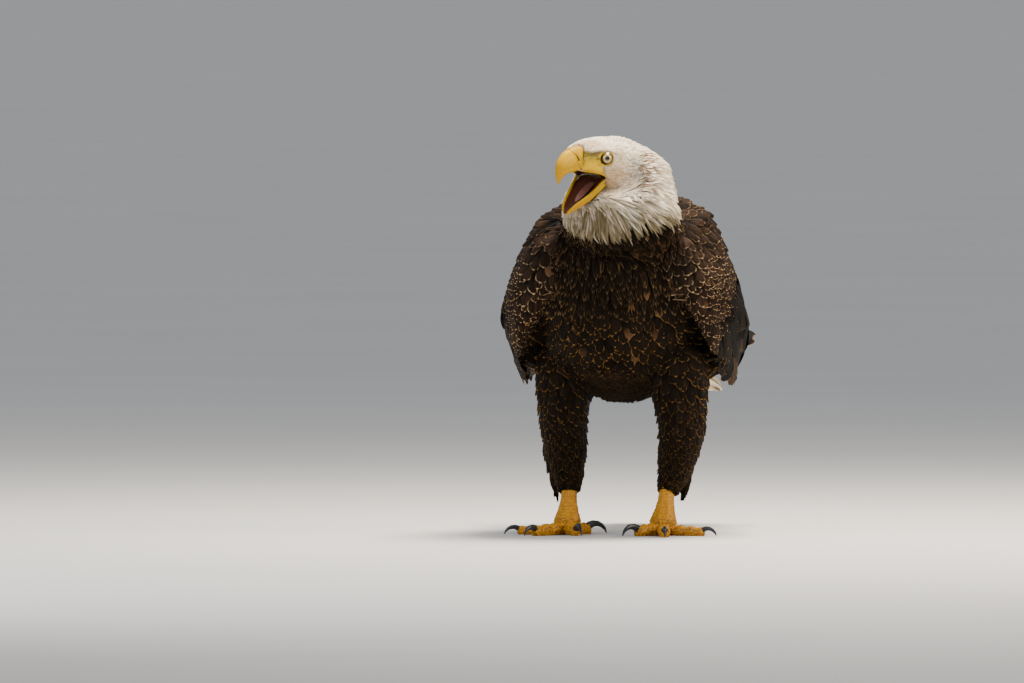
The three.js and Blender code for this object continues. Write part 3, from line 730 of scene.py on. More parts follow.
part_tree, part_owner = part_finder(FLESH)
skin_part = parts_at(places(skin.data))
print({name: int((skin_part == name).sum()) for name in FLESH})

# %% Unwrap the skin
BAKE_MAP = "OFBake"
skin.data.uv_layers.new(name=BAKE_MAP)
bpy.context.view_layer.objects.active = skin
skin.select_set(True)
bpy.ops.object.mode_set(mode="EDIT")
bpy.ops.mesh.select_all(action="SELECT")
bpy.ops.uv.smart_project(angle_limit=math.radians(70), island_margin=0.002)
bpy.ops.object.mode_set(mode="OBJECT")
skin.select_set(False)
flat_uv = np.empty(len(skin.data.loops) * 2)
skin.data.uv_layers[BAKE_MAP].uv.foreach_get("vector", flat_uv)
loop_uv = flat_uv.reshape(-1, 2)
first_loop = np.empty(len(skin.data.polygons), int)
skin.data.polygons.foreach_get("loop_start", first_loop)
print("unwrap covers", loop_uv.min(0).round(2), loop_uv.max(0).round(2))

# %% A surface to lay feathers on
skin_tree = bvh_of(skin.data)
skin_outward = normals(skin.data)
flat_normals = skin.data.attributes.new("outward", "FLOAT_VECTOR", "POINT")
flat_normals.data.foreach_set("vector", skin_outward.ravel())


def on_skin(points):
    """Nearest place on the skin, the normal there, and the place's spot on the unwrap."""
    found = [skin_tree.find_nearest(Vector(p)) for p in points]
    spot = np.array([f[0] for f in found]).reshape(-1, 3)
    outward = np.array([f[1] for f in found]).reshape(-1, 3)
    face = np.array([f[2] for f in found], int)
    return spot, outward, loop_uv[first_loop[face]]

# %% [markdown]
# ## What one feather is
# A contour feather is a thin, slightly arched vane on a shaft. Its barbs part here and there, which nicks
# the edge. One flat vane is drawn for each kind: round body feathers, pointed hackles for the neck, and
# loose downy tufts. Each is a few dozen faces, so thousands of copies stay light.

# %% Mesh helpers
def quads_of(number):
    """The quads between points that are numbered in rows and columns."""
    return np.stack([number[:-1, :-1], number[:-1, 1:], number[1:, 1:], number[1:, :-1]], -1).reshape(-1, 4)


def joined_grids(name, grids):
    """One mesh over several grids of points, as an array (grid, row, column, 3)."""
    grids = np.asarray(grids)
    count, rows, columns = grids.shape[:3]
    quads = quads_of(np.arange(rows * columns).reshape(rows, columns))
    faces = np.concatenate([quads + i * rows * columns for i in range(count)])
    mesh = bpy.data.meshes.new(name)
    mesh.from_pydata(grids.reshape(-1, 3).tolist(), [], faces.tolist())
    mesh.shade_smooth()
    return mesh


def store(mesh, name, values, kind="FLOAT", domain="POINT"):
    """Keeps one number or vector for each point of a mesh."""
    data = mesh.attributes.new(name, kind, domain).data
    number = np.int32 if kind == "INT" else np.float32
    data.foreach_set("value" if kind in ("FLOAT", "INT") else "vector", np.asarray(values, number).ravel())


def lay_map(mesh, name, spots):
    """Makes a UV map that gives each point of the mesh one spot."""
    corner = np.empty(len(mesh.loops), int)
    mesh.loops.foreach_get("vertex_index", corner)
    mesh.uv_layers.new(name=name).uv.foreach_set("vector", spots[corner].ravel())

# %% Vane shapes
def vane(name, widest, point, steps, columns, nicks=(), strands=1):
    """A feather one unit long along +Y and one unit wide at most. widest is where it is broadest, and
    point is how sharp its end is: 0.5 is round and 1.5 a long point."""
    along = np.linspace(0, 1, steps)
    across = np.linspace(-1, 1, columns)
    swell = np.where(along < widest, 0.5 + 0.5 * np.sin(along / widest * math.pi / 2), 1)
    close = ramp(along, widest, 1)
    wide = swell * (1 - close**2.2) ** point
    grids = []
    for strand in range(strands):
        shift = (strand - (strands - 1) / 2) / strands
        rows = np.zeros((steps, columns, 3))
        reach = 1 - 0.5 * abs(shift) - 0.12 * (strand % 2)
        rows[..., 0] = across * 0.5 * wide[:, None] / strands**0.7 + shift * along[:, None] ** 1.3
        lag = 0.1 * across**2 * (1 - close[:, None])  # the barbs' ends sweep forward
        rows[..., 1] = along[:, None] * (reach + lag)
        for row, column, depth in nicks:
            rows[row, column, 0] *= 1 - depth
            rows[row, column, 1] += depth * 0.05
        grids.append(rows)
    mesh = joined_grids(name, grids)
    every_along = np.tile(np.repeat(along, columns), strands)
    every_across = np.tile(across, steps * strands)
    store(mesh, "along", every_along)
    store(mesh, "across", every_across)
    lay_map(mesh, "vane", np.stack([every_across / 2 + 0.5, every_along], 1))
    return mesh_object(name, mesh)


def vane_set(name, **kinds):
    """A hidden collection of vanes, which a tract picks from by number in order of name."""
    group = bpy.data.collections.new(name)
    for key, shape in kinds.items():
        piece = vane(f"{name}_{key}", **shape)
        bpy.context.scene.collection.objects.unlink(piece)
        group.objects.link(piece)
    return group


NICKS = ((4, 0, 0.25), (5, -1, 0.3))
OTHER_NICKS = ((5, 0, 0.35), (3, -1, 0.2), (6, -1, 0.15))
round_vanes = vane_set(
    "round_vane",
    a={"widest": 0.6, "point": 0.5, "steps": 8, "columns": 5},
    b={"widest": 0.6, "point": 0.6, "steps": 8, "columns": 5, "nicks": NICKS},
    c={"widest": 0.5, "point": 0.7, "steps": 8, "columns": 5, "nicks": OTHER_NICKS},
)
hackle_vanes = vane_set(
    "hackle_vane",
    a={"widest": 0.4, "point": 1.0, "steps": 7, "columns": 4},
    b={"widest": 0.3, "point": 1.3, "steps": 7, "columns": 4, "nicks": ((4, 0, 0.5),)},
    c={"widest": 0.35, "point": 1.1, "steps": 7, "columns": 3, "strands": 3},
)
fine_vanes = vane_set(
    "fine_vane",
    a={"widest": 0.5, "point": 0.8, "steps": 5, "columns": 3},
    b={"widest": 0.4, "point": 1.1, "steps": 5, "columns": 3, "strands": 2},
)
down_vanes = vane_set(
    "down_vane",
    a={"widest": 0.3, "point": 1.2, "steps": 6, "columns": 2, "strands": 5},
    b={"widest": 0.4, "point": 1.0, "steps": 6, "columns": 2, "strands": 7},
)

# %% [markdown]
# ## A tree that feathers a tract
# The tree puts a vane on each root point, turned to the point's lie and scaled to its size. Once realized,
# every vertex drops to the nearest place on the skin and rises again by its share of the lift, so a feather
# follows the body's curve with its root low and its tip high, over the roots of the feathers behind it.

# %% Build the feathering tree
VECTOR = {"data_type": "FLOAT_VECTOR"}
NAMED = "GeometryNodeInputNamedAttribute"
VMATH = "ShaderNodeVectorMath"
TREE_INPUTS = {
    "Geometry": "Geometry",
    "Vanes": "Collection",
    "Skin": "Object",
    "Arch": "Float",
    "Rise": "Float",
    "Patch": "Float",
    "Finish": "Material",
}


def feathering_tree():
    tree = bpy.data.node_groups.new("feather_a_tract", "GeometryNodeTree")
    for name, kind in TREE_INPUTS.items():
        tree.interface.new_socket(name, in_out="INPUT", socket_type=f"NodeSocket{kind}")
    tree.interface.new_socket("Geometry", in_out="OUTPUT", socket_type="NodeSocketGeometry")
    given = tree.nodes.new("NodeGroupInput").outputs

    # one vane on each root
    names = ("lie", "up", "size", "outward", "vane", "root_uv")
    lie, up, size, outward, vane_uv, root_uv = (add(tree, NAMED, VECTOR, {"Name": name}) for name in names)
    number = {"data_type": "FLOAT"}
    names = ("along", "across", "low", "lift")
    along, beside, low, lift = (add(tree, NAMED, number, {"Name": name}) for name in names)
    pick = add(tree, NAMED, {"data_type": "INT"}, {"Name": "pick"})
    way = {"primary_axis": "Z", "secondary_axis": "Y"}
    turn = add(tree, "FunctionNodeAxesToRotation", way, {0: up, 1: lie})
    whole = {"transform_space": "ORIGINAL"}
    chosen = {"Collection": given["Vanes"], "Separate Children": True, "Reset Children": True}
    vanes = add(tree, "GeometryNodeCollectionInfo", whole, chosen)
    copies = {"Points": given["Geometry"], "Instance": vanes, "Pick Instance": True, "Instance Index": pick}
    copies |= {"Rotation": turn, "Scale": size}
    laid = add(tree, "GeometryNodeInstanceOnPoints", None, copies)
    mesh = add(tree, "GeometryNodeRealizeInstances", None, {"Geometry": laid})

    # down to the skin, and up again by the feather's own rise and arch
    surface = add(tree, "GeometryNodeObjectInfo", whole, {"Object": given["Skin"]}).outputs["Geometry"]
    place = add(tree, "GeometryNodeInputPosition")
    ground = add(tree, "GeometryNodeSampleNearestSurface", VECTOR, {"Mesh": surface, "Value": place})
    normal = add(tree, "GeometryNodeSampleNearestSurface", VECTOR, {"Mesh": surface, "Value": outward})
    share = add(tree, MATH, {"operation": "POWER"}, {0: along, 1: given["Rise"]})
    climb = add(tree, MATH, TIMES_PLUS, {0: share, 1: lift, 2: low})
    wide = add(tree, "ShaderNodeSeparateXYZ", None, {0: size}).outputs["X"]
    square = add(tree, MATH, TIMES, {0: beside, 1: beside})
    fall = add(tree, MATH, TIMES, {0: square, 1: given["Arch"]})
    droop = add(tree, MATH, TIMES, {0: fall, 1: wide})
    height = add(tree, MATH, {"operation": "SUBTRACT"}, {0: climb, 1: droop})
    safe = add(tree, MATH, {"operation": "MAXIMUM"}, {0: height, 1: 0.2 * MM})
    unit = add(tree, VMATH, {"operation": "NORMALIZE"}, {0: normal})
    raised = add(tree, VMATH, {"operation": "SCALE"}, {0: unit, "Scale": safe})
    final = add(tree, VMATH, {"operation": "ADD"}, {0: ground, 1: raised})
    shaped = add(tree, "GeometryNodeSetPosition", None, {"Geometry": mesh, "Position": final})

    # a small patch of the skin's unwrap for each feather
    spread = add(tree, VMATH, {"operation": "SCALE"}, {0: vane_uv, "Scale": given["Patch"]})
    spot = add(tree, VMATH, {"operation": "ADD"}, {0: spread, 1: root_uv})
    kept = {"Geometry": shaped, "Name": BAKE_MAP, "Value": spot}
    corner = {"data_type": "FLOAT2", "domain": "CORNER"}
    mapped = add(tree, "GeometryNodeStoreNamedAttribute", corner, kept)
    finished = add(tree, "GeometryNodeSetMaterial", None, {"Geometry": mapped, "Material": given["Finish"]})
    out = tree.nodes.new("NodeGroupOutput")
    tree.links.new(finished.outputs[0], out.inputs[0])
    return tree


feather_tree = feathering_tree()
PATCH = 0.003  # how much of the skin's unwrap one feather takes


def run_tree(piece, tree, **inputs):
    """Gives a piece the tree's result as its plain mesh."""
    modifier = piece.modifiers.new("tree", "NODES")
    modifier.node_group = tree
    for socket in tree.interface.items_tree:
        if socket.in_out == "INPUT" and socket.name in inputs:
            modifier[socket.identifier] = inputs[socket.name]
    bpy.context.view_layer.update()
    return applied(piece)


print("tree nodes:", len(feather_tree.nodes))

# %% [markdown]
# ## Where the roots go
# Roots must be evenly spread but never in a grid. Darts are thrown at the skin, and a dart counts only
# if it is far enough from those already there. How far depends on the feather's size at that place.

# %% Scatter roots
CREASE_GAP = 5 * MM
DARTS = 5  # thrown for each feather that has room; more would change nothing
skin_triangles = np.array([t.vertices for t in skin.data.loop_triangles])
triangle_corners = places(skin.data)[skin_triangles]
first_side = triangle_corners[:, 1] - triangle_corners[:, 0]
cross = np.cross(first_side, triangle_corners[:, 2] - triangle_corners[:, 0])
triangle_area = np.linalg.norm(cross, axis=1) / 2
triangle_middle = triangle_corners.mean(1)
triangle_normal = cross / np.maximum(1e-12, 2 * triangle_area)[:, None]
triangle_part = skin_part[skin_triangles[:, 0]]
_, middle_length, middle_width, _ = combed(triangle_middle)


def in_a_crease(points, outward):
    """Whether another part of the body lies close over each point, so that nothing can grow there."""
    hits = (skin_tree.ray_cast(Vector(p), Vector(n), CREASE_GAP) for p, n in zip(points, outward))
    return np.array([hit[0] is not None for hit in hits])


creased = in_a_crease(triangle_middle + triangle_normal * 0.3 * MM, triangle_normal)
print("triangles in creases:", int(creased.sum()), "of", len(creased))


def scattered(chosen, closeness, seed):
    """Root places on the chosen triangles. closeness is the spacing as a share of the feather's size."""
    rng = np.random.default_rng(seed)
    which = np.flatnonzero(chosen)
    spacing = closeness * np.sqrt(middle_length[which] * middle_width[which])
    weight = triangle_area[which] / spacing**2
    darts = int(weight.sum() * DARTS)
    picked = rng.choice(len(which), darts, p=weight / weight.sum())
    a, b = rng.random((2, darts))
    flip = a + b > 1
    a[flip], b[flip] = 1 - a[flip], 1 - b[flip]
    c = triangle_corners[which[picked]]
    points = c[:, 0] + a[:, None] * (c[:, 1] - c[:, 0]) + b[:, None] * (c[:, 2] - c[:, 0])
    gap = spacing[picked]
    cell = spacing.max()
    taken = {}
    kept = []
    for i, p in enumerate(points):
        key = tuple((p // cell).astype(int))
        neighbours = (
            q
            for x in (-1, 0, 1)
            for y in (-1, 0, 1)
            for z in (-1, 0, 1)
            for q in taken.get((key[0] + x, key[1] + y, key[2] + z), ())
        )
        apart = ((p[0] - q[0]) ** 2 + (p[1] - q[1]) ** 2 + (p[2] - q[2]) ** 2 for q in neighbours)
        if all(square > gap[i] ** 2 for square in apart):
            taken.setdefault(key, []).append(p)
            kept.append(i)
    return points[kept]


def tangent(vectors, outward):
    flat = vectors - (vectors * outward).sum(1)[:, None] * outward
    return flat / np.maximum(1e-9, np.linalg.norm(flat, axis=1))[:, None]


def without_torn(mesh):
    """Drops a feather that was stretched between two limbs: its tone tells its points from the others'."""
    tone = np.empty(len(mesh.vertices), np.float32)
    mesh.attributes["tone"].data.foreach_get("value", tone)
    size = np.empty(len(mesh.vertices) * 3, np.float32)
    mesh.attributes["size"].data.foreach_get("vector", size)
    _, own = np.unique(tone, return_inverse=True)
    points = places(mesh)
    low = np.full((own.max() + 1, 3), 1e9)
    high = -low
    np.minimum.at(low, own, points)
    np.maximum.at(high, own, points)
    whole = np.hypot(*size.reshape(-1, 3)[:, :2].T)
    torn = np.linalg.norm(high - low, axis=1)[own] > 1.3 * whole + 3 * MM
    if torn.any():
        shape = bmesh.new()
        shape.from_mesh(mesh)
        shape.verts.ensure_lookup_table()
        bmesh.ops.delete(shape, geom=[shape.verts[i] for i in np.flatnonzero(torn)], context="VERTS")
        shape.to_mesh(mesh)
        shape.free()


def feather_tract(name, chosen, vanes, finish, closeness, seed, arch, slender, swing):
    """Feathers a tract: every chosen triangle of the skin gets its share of roots."""
    rng = np.random.default_rng(seed)
    roots, outward, uv = on_skin(scattered(chosen, closeness, seed))
    lie, long, wide, deep = combed(roots)
    count = len(roots)
    turn = np.radians(rng.normal(0, swing, count))[:, None]
    lie = tangent(lie, outward)
    lie = lie * np.cos(turn) + np.cross(outward, lie) * np.sin(turn)
    grow = rng.uniform(0.85, 1.15, (count, 2))
    size = np.stack([wide * grow[:, 0] * slender, long * grow[:, 1], np.ones(count)], 1)
    mesh = bpy.data.meshes.new(name)
    mesh.from_pydata(roots.tolist(), [], [])
    store(mesh, "lie", lie, "FLOAT_VECTOR")
    store(mesh, "up", outward, "FLOAT_VECTOR")
    store(mesh, "size", size, "FLOAT_VECTOR")
    store(mesh, "lift", deep * rng.uniform(0.7, 1.15, count))
    store(mesh, "low", rng.uniform(0.2, 0.9, count) * MM)
    store(mesh, "pick", rng.integers(0, len(vanes.objects), count), "INT")
    store(mesh, "root_uv", np.column_stack([uv - PATCH / 2, np.zeros(count)]), "FLOAT_VECTOR")
    store(mesh, "tone", rng.random(count))
    for key, values in marks(roots, rng).items():
        store(mesh, key, values)
    piece = mesh_object(name, mesh)
    settings = {"Vanes": vanes, "Skin": skin, "Arch": arch, "Rise": 1.0, "Patch": PATCH, "Finish": finish}
    run_tree(piece, feather_tree, **settings)
    without_torn(piece.data)
    for extra in ("lie", "up", "low", "pick", "root_uv", "lift"):
        if extra in piece.data.attributes:
            piece.data.attributes.remove(piece.data.attributes[extra])
    print(name, count, "feathers,", sum(len(p.vertices) - 2 for p in piece.data.polygons), "triangles")
    return piece

# %% [markdown]
# ## Markings
# Skin and feathers read the same marks, so bare gaps never flash the wrong colour. Each mark is a share
# from 0 to 1 worked out from the place on the bird: how white it is, how strongly the feather's edge is
# paled, how much rusty stain it has. Some are painted light: shade greys the lower front of the neck, and
# the dark lines by the eye carry a painted shadow of the brow.

# %% Marks at a place
def near(points, place, matrix, reach):
    """1 at a place, fading to 0 at a distance of about reach mm."""
    far = np.linalg.norm(points - moved(place, matrix), axis=1) / (reach * MM)
    return np.exp(-(far**2))


RUST_LINE = [(55, 56, 11), (61, 44, -5), (65, 37, -20), (68, 30, -34)]  # in the head's frame


def marks(points, rng):
    """Every mark's share at each point, with a feather's own chance in it."""
    count = len(points)
    x, y, z = in_body(points).T
    patchy = np.array([noise.noise(Vector(p) * 35) for p in points])
    breast = ramp(y, -60, -120) * ramp(z, 225, 265)
    low_breast = breast * ramp(z, 345, 305)
    wrist = near(points, (152, -95, 365), BODY, 58) + near(points, (-146, -100, 360), BODY, 58)
    alula = near(points, (150, -90, 300), BODY, 30) + near(points, (-146, -95, 300), BODY, 30)
    wing = ramp(np.abs(x), 105, 130)
    edge = 0.1 + 0.3 * rng.random(count) + 0.45 * low_breast + 0.9 * wrist + 0.6 * alula + 0.15 * wing
    tan = (rng.random(count) < 0.03) * breast * rng.uniform(0.2, 0.6, count)
    tan_patch = near(points, (62, -170, 376), BODY, 20) + 0.7 * near(points, (-62, -160, 385), BODY, 14)
    tan = np.maximum(tan, tan_patch * rng.uniform(0.2, 1, count))
    fluffy = near(points, (2, -180, 322), BODY, 13)
    rust = 3 * along_line(in_head(points), RUST_LINE, 11)
    blush = near(points, (34, 12, -20), HEAD, 22) + 0.8 * near(points, (26, 8, -42), HEAD, 20)
    forehead = near(points, (10, -24, 19), HEAD, 17)
    # Painted shadow of the brow behind the eye, which also warms the blush there.
    brow_shadow_behind_eye = near(points, (35, 17, 7), HEAD, 9)  # behind the eye
    face = face_shares(points)
    # Painted shade: the lower front of the neck, under the head, is greyed as the light from above would
    # leave it; the noise adds grey patches at random.
    shade = 1.3 * ramp(z, 510, 460) * ramp(y, -90, -150)
    rust = (rust + 0.6 * forehead) * (rng.random(count) < 0.5) * rng.uniform(0.7, 1.2, count)
    return {
        "edge": np.clip(edge, 0, 1),
        "tan": np.clip(tan + 0.8 * fluffy, 0, 1),
        "pale": np.clip(1.2 * fluffy, 0, 1),
        "rust": np.clip(rust, 0, 1),
        "blush": np.clip(blush + 0.9 * forehead + 0.5 * brow_shadow_behind_eye, 0, 1) * rng.uniform(0.4, 1.1, count),
        "shade": np.clip((shade + 0.5 * patchy) * rng.uniform(0.5, 1.2, count), 0, 1),
        "sallow": np.clip(np.maximum(face["yellow"], face["olive"]), 0, 1) * rng.uniform(0.85, 1, count),
        # Dark lid lines, dusky olive, and the painted brow shadow.
        "lines_and_painted_shadow": np.clip(face["line"] + (0.35 * face["olive"] + 0.5 * brow_shadow_behind_eye) * rng.random(count), 0, 1),
    }

# %% [markdown]
# ## Feather finishes
# Keratin barbs lie side by side like threads and give a soft satin, not a gloss. White feathers hold no
# pigment: they look cream where light passes through them, and the grey of the folds is painted shade,
# towards each feather's root and on the lower front of the neck. Brown ones are darkest in the middle, along
# the shaft, are painted darker towards the root as shade, and wear to buff at the edge.

# %% Feather materials
BARB_GAP = 1.1  # mm; real barbs are about 0.3 apart, too fine to show, so they are drawn coarser
BARB_RELIEF = 0.25 * MM


def vane_parts(tree):
    """Nodes for the place on the vane: along, across without sign, and the barb lines as a height."""
    place = add(tree, "ShaderNodeUVMap", {"uv_map": "vane"})
    split = add(tree, "ShaderNodeSeparateXYZ", None, {0: place})
    own_size = add(tree, READ, {"attribute_name": "size"}).outputs["Vector"]
    size = add(tree, "ShaderNodeSeparateXYZ", None, {0: own_size})
    centred = add(tree, MATH, TIMES_PLUS, {0: split.outputs["X"], 1: 2.0, 2: -1.0})
    beside = add(tree, MATH, {"operation": "ABSOLUTE"}, {0: centred})
    length = add(tree, MATH, TIMES, {0: split.outputs["Y"], 1: size.outputs["Y"]})
    wide = add(tree, MATH, TIMES, {0: beside, 1: size.outputs["X"]})
    slant = add(tree, MATH, TIMES_PLUS, {0: wide, 1: -0.5, 2: length})
    turns = add(tree, MATH, TIMES, {0: slant, 1: math.tau / (BARB_GAP * MM)})
    barbs = add(tree, MATH, {"operation": "SINE"}, {0: turns})
    return split.outputs["Y"], beside, barbs


def white_feather():
    # Unpigmented keratin: cream, with painted grey shade at the root and low on the neck's front, and a few
    # rusty stains.
    material, tree = new_material("white_feather_keratin")
    names = ("tone", "blush", "rust", "shade", "sallow", "lines_and_painted_shadow")
    marked = {name: add(tree, READ, {"attribute_name": name}).outputs["Fac"] for name in names}
    along, beside, barbs = vane_parts(tree)
    plain = add(tree, MIX, BLEND, {"Factor": marked["tone"], "A": colour("#fdf5e6"), "B": colour("#e6d3ae")})
    # Painted shade: each feather greys towards its root, where the feathers lying over it would shade it.
    outer = add(tree, EASE, SMOOTH, {0: along, 1: 0.1, 2: 0.75})
    root = add(tree, MATH, {"operation": "SUBTRACT"}, {0: 1.0, 1: outer})
    deep = add(tree, MATH, TIMES, {0: root, 1: 0.6})
    root_shaded = add(tree, MIX, BLEND, {"Factor": deep, "A": plain, "B": colour("#8d816c")})
    blush = add(tree, MATH, TIMES, {0: marked["blush"], 1: 0.7})
    middle_line = add(tree, EASE, SMOOTH, {0: beside, 1: 1.0, 2: 0.3})
    stain = add(tree, MATH, TIMES, {0: marked["rust"], 1: middle_line})
    body = root_shaded
    # Painted shade on the lower front of the neck, then blush, the face's yellow, the dark lines with the
    # painted brow shadow, and rust.
    for share, code in (
        (marked["shade"], "#6f6246"),
        (blush, "#b3864e"),
        (marked["sallow"], "#978322"),
        (marked["lines_and_painted_shadow"], "#3b3022"),
        (stain, "#5e3508"),
    ):
        body = add(tree, MIX, BLEND, {"Factor": share, "A": body, "B": colour(code)})
    lines = add(tree, MATH, TIMES_PLUS, {0: barbs, 1: 0.05, 2: 0.95})
    final = add(tree, MIX, TINT, {"Factor": 1.0, "A": body, "B": lines})
    bump = add(tree, "ShaderNodeBump", None, {"Height": barbs, "Distance": BARB_RELIEF, "Strength": 0.6})
    finish_material(tree, Base_Color=final, Roughness=0.7, Normal=bump, Specular_IOR_Level=0.15)
    return material


def brown_feather(name, dark, light, edge_colour, gloss, rim_from=0.72, tip_from=0.88):
    # Melanin-brown keratin: satin, darkest along the shaft, painted darker at the root as shade, worn to buff
    # at the edge.
    material, tree = new_material(name)
    names = ("tone", "edge", "tan", "pale")
    marked = {name: add(tree, READ, {"attribute_name": name}).outputs["Fac"] for name in names}
    along, beside, barbs = vane_parts(tree)
    body = add(tree, MIX, BLEND, {"Factor": marked["tone"], "A": colour(dark), "B": colour(light)})
    # Painted shade: each feather darkens towards its root, where the feathers lying over it would shade it.
    beyond_root = add(tree, EASE, SMOOTH, {0: along, 1: 0.05, 2: 0.6})
    root = add(tree, MATH, {"operation": "SUBTRACT"}, {0: 1.0, 1: beyond_root})
    shaft = add(tree, EASE, SMOOTH, {0: beside, 1: 0.14, 2: 0.02})
    side_rim = add(tree, EASE, SMOOTH, {0: beside, 1: rim_from, 2: 0.98})
    tip_rim = add(tree, EASE, SMOOTH, {0: along, 1: tip_from, 2: 0.98})
    either = add(tree, MATH, {"operation": "MAXIMUM"}, {0: side_rim, 1: tip_rim})
    far_half = add(tree, MATH, TIMES, {0: either, 1: add(tree, EASE, SMOOTH, {0: along, 1: 0.5, 2: 0.85})})
    rim = add(tree, MATH, TIMES, {0: far_half, 1: marked["edge"]})
    outer = add(tree, EASE, SMOOTH, {0: along, 1: 0.3, 2: 0.9})
    tan = add(tree, MATH, TIMES, {0: marked["tan"], 1: outer})
    for share, code in (
        (root, "#0b0704"),
        (shaft, "#120b06"),
        (rim, edge_colour),
        (tan, "#7d5b3a"),
        (marked["pale"], "#d8c9bb"),
    ):
        body = add(tree, MIX, BLEND, {"Factor": share, "A": body, "B": colour(code)})
    lines = add(tree, MATH, TIMES_PLUS, {0: barbs, 1: 0.12, 2: 0.88})
    final = add(tree, MIX, TINT, {"Factor": 1.0, "A": body, "B": lines})
    bump = add(tree, "ShaderNodeBump", None, {"Height": barbs, "Distance": BARB_RELIEF, "Strength": 0.6})
    finish_material(tree, Base_Color=final, Roughness=gloss, Normal=bump, Specular_IOR_Level=0.05)
    return material


white_finish = white_feather()
body_finish = brown_feather("brown_feather_keratin", "#0c0804", "#1b120a", "#bb8b42", 0.6, 0.8, 0.91)
breast_finish = brown_feather("pointed_feather_keratin", "#0b0703", "#1a1109", "#9a7a50", 0.6, 0.84, 0.8)
down_finish = brown_feather("loose_down_keratin", "#0d0905", "#1b120b", "#6b5230", 0.7, 0.9, 0.85)
wing_finish = brown_feather("wing_covert_keratin", "#170f08", "#33241a", "#d0b084", 0.6, 0.78, 0.9)
feather_finishes = (white_finish, body_finish, breast_finish, down_finish, wing_finish)
print("feather finishes:", [finish.name for finish in feather_finishes])

# %% [markdown]
# ## The coat, tract by tract
# A feather's colour belongs to the place where it shows, which is its tip and not its root. So the tracts
# are divided by where the tips end: white roots stop a feather's length above the collar, and the ragged
# lower edge of the collar makes itself. Each tract has its own vane: fine ones on the face, pointed
# hackles on the neck and upper breast, round scales on the body, loose down between the legs.

# %% Divide the skin into tracts
# The line where the white ends, as x and z.
COLLAR = [(-70, 448), (-45, 437), (-10, 428), (25, 429), (55, 433), (75, 439), (92, 447)]


def above_collar(points, margin=0):
    """Whether places in the body's frame lie above the ragged edge of the white, or behind it."""
    collar_x, collar_z = np.array(COLLAR).T
    return (points[:, 2] > np.interp(points[:, 0], collar_x, collar_z) + margin) | (points[:, 1] > -95)


lean, tip_length, _, _ = combed(triangle_middle)
tip_place = triangle_middle + tangent(lean, triangle_normal) * tip_length[:, None]
tip_place, _, _ = on_skin(tip_place)
tip_part = parts_at(tip_place)
tip_drawn = in_body(tip_place)
root_head = in_head(triangle_middle)
bare = face_shares(triangle_middle)
# Feathers thin out towards the bare skin by chance, triangle by triangle.
thinning = np.random.default_rng(4).uniform(0.2, 0.9, len(triangle_middle))
bare_skin = (bare["yellow"] > thinning) | (bare["mouth"] > 0.2) | (bare["ring"] > 0.3) | creased
on_head = np.isin(triangle_part, ["head", "chin"]) & np.isin(tip_part, ["head", "chin", "neck"])
on_face = on_head & (root_head[:, 1] < 16) & ~bare_skin
on_crown = on_head & (root_head[:, 1] >= 16) & ~bare_skin
on_neck = ~on_head & (tip_part == "neck") & above_collar(tip_drawn)
on_tail = tip_part == "tail"
on_thigh = np.char.startswith(tip_part, "thigh")
on_wing = np.char.startswith(tip_part, "wing")
tip_aside, tip_back, tip_high = tip_drawn.T
root_aside = in_body(triangle_middle)[:, 0]
covert_line = np.interp(tip_back, [-70, 50, 262], [305, 372, 300])
on_flank = (tip_high < covert_line - 22) & (tip_back > -62) & (np.abs(triangle_normal[:, 0]) > 0.6)
facing_out = root_aside * triangle_normal[:, 0] > 0
quilled = on_wing & ((on_flank & facing_out) | (tip_back > 240))
on_wing &= ~quilled
on_tail &= (tip_back < 300) & np.isin(triangle_part, ["tail", "trunk"])
elsewhere = on_head | on_neck | on_thigh | on_wing | bare_skin | quilled
on_trunk = ~elsewhere & ~np.isin(tip_part, ["tail", "head"])
is_front = tip_back < 30
is_high = tip_high > 318
is_soft = (np.abs(tip_aside) < 62) & (tip_high < 235) & (tip_back < 60)
tracts = (on_face, on_crown, on_neck, on_tail, on_thigh, on_wing, on_trunk)
print("triangles in the tracts:", [int(tract.sum()) for tract in tracts])

# %% Lay the coat
near_side = root_head[:, 0] > 0
plumes = [  # name, where, vane, finish, closeness, arch, slenderness, swing in degrees
    ("coat_face_left", on_face & near_side, fine_vanes, white_finish, 0.32, 0.12, 0.9, 7),
    ("coat_face_right", on_face & ~near_side, fine_vanes, white_finish, 0.32, 0.12, 0.9, 7),
    ("coat_crown", on_crown, hackle_vanes, white_finish, 0.27, 0.14, 0.8, 8),
    ("coat_neck_left", on_neck & (tip_aside > 12), hackle_vanes, white_finish, 0.22, 0.16, 0.62, 9),
    ("coat_neck_right", on_neck & (tip_aside <= 12), hackle_vanes, white_finish, 0.22, 0.16, 0.62, 9),
    ("coat_breast", on_trunk & is_front & is_high, hackle_vanes, breast_finish, 0.3, 0.14, 0.85, 9),
    ("coat_belly", on_trunk & is_front & ~is_high & ~is_soft, round_vanes, body_finish, 0.4, 0.14, 1.0, 8),
    ("coat_down", on_trunk & is_soft, down_vanes, down_finish, 0.2, 0.1, 1.0, 14),
    ("coat_back", on_trunk & ~is_front & ~is_soft, round_vanes, body_finish, 0.4, 0.1, 1.0, 6),
    ("coat_tail", on_tail, round_vanes, white_finish, 0.42, 0.06, 1.0, 6),
    ("coat_legs", on_thigh, round_vanes, body_finish, 0.38, 0.14, 1.0, 9),
    ("coat_wing_left", on_wing & (tip_aside > 0), round_vanes, wing_finish, 0.4, 0.12, 1.0, 6),
    ("coat_wing_right", on_wing & (tip_aside <= 0), round_vanes, wing_finish, 0.4, 0.12, 1.0, 6),
]
coats = [feather_tract(*row[:5], 11 + number, *row[5:]) for number, row in enumerate(plumes)]

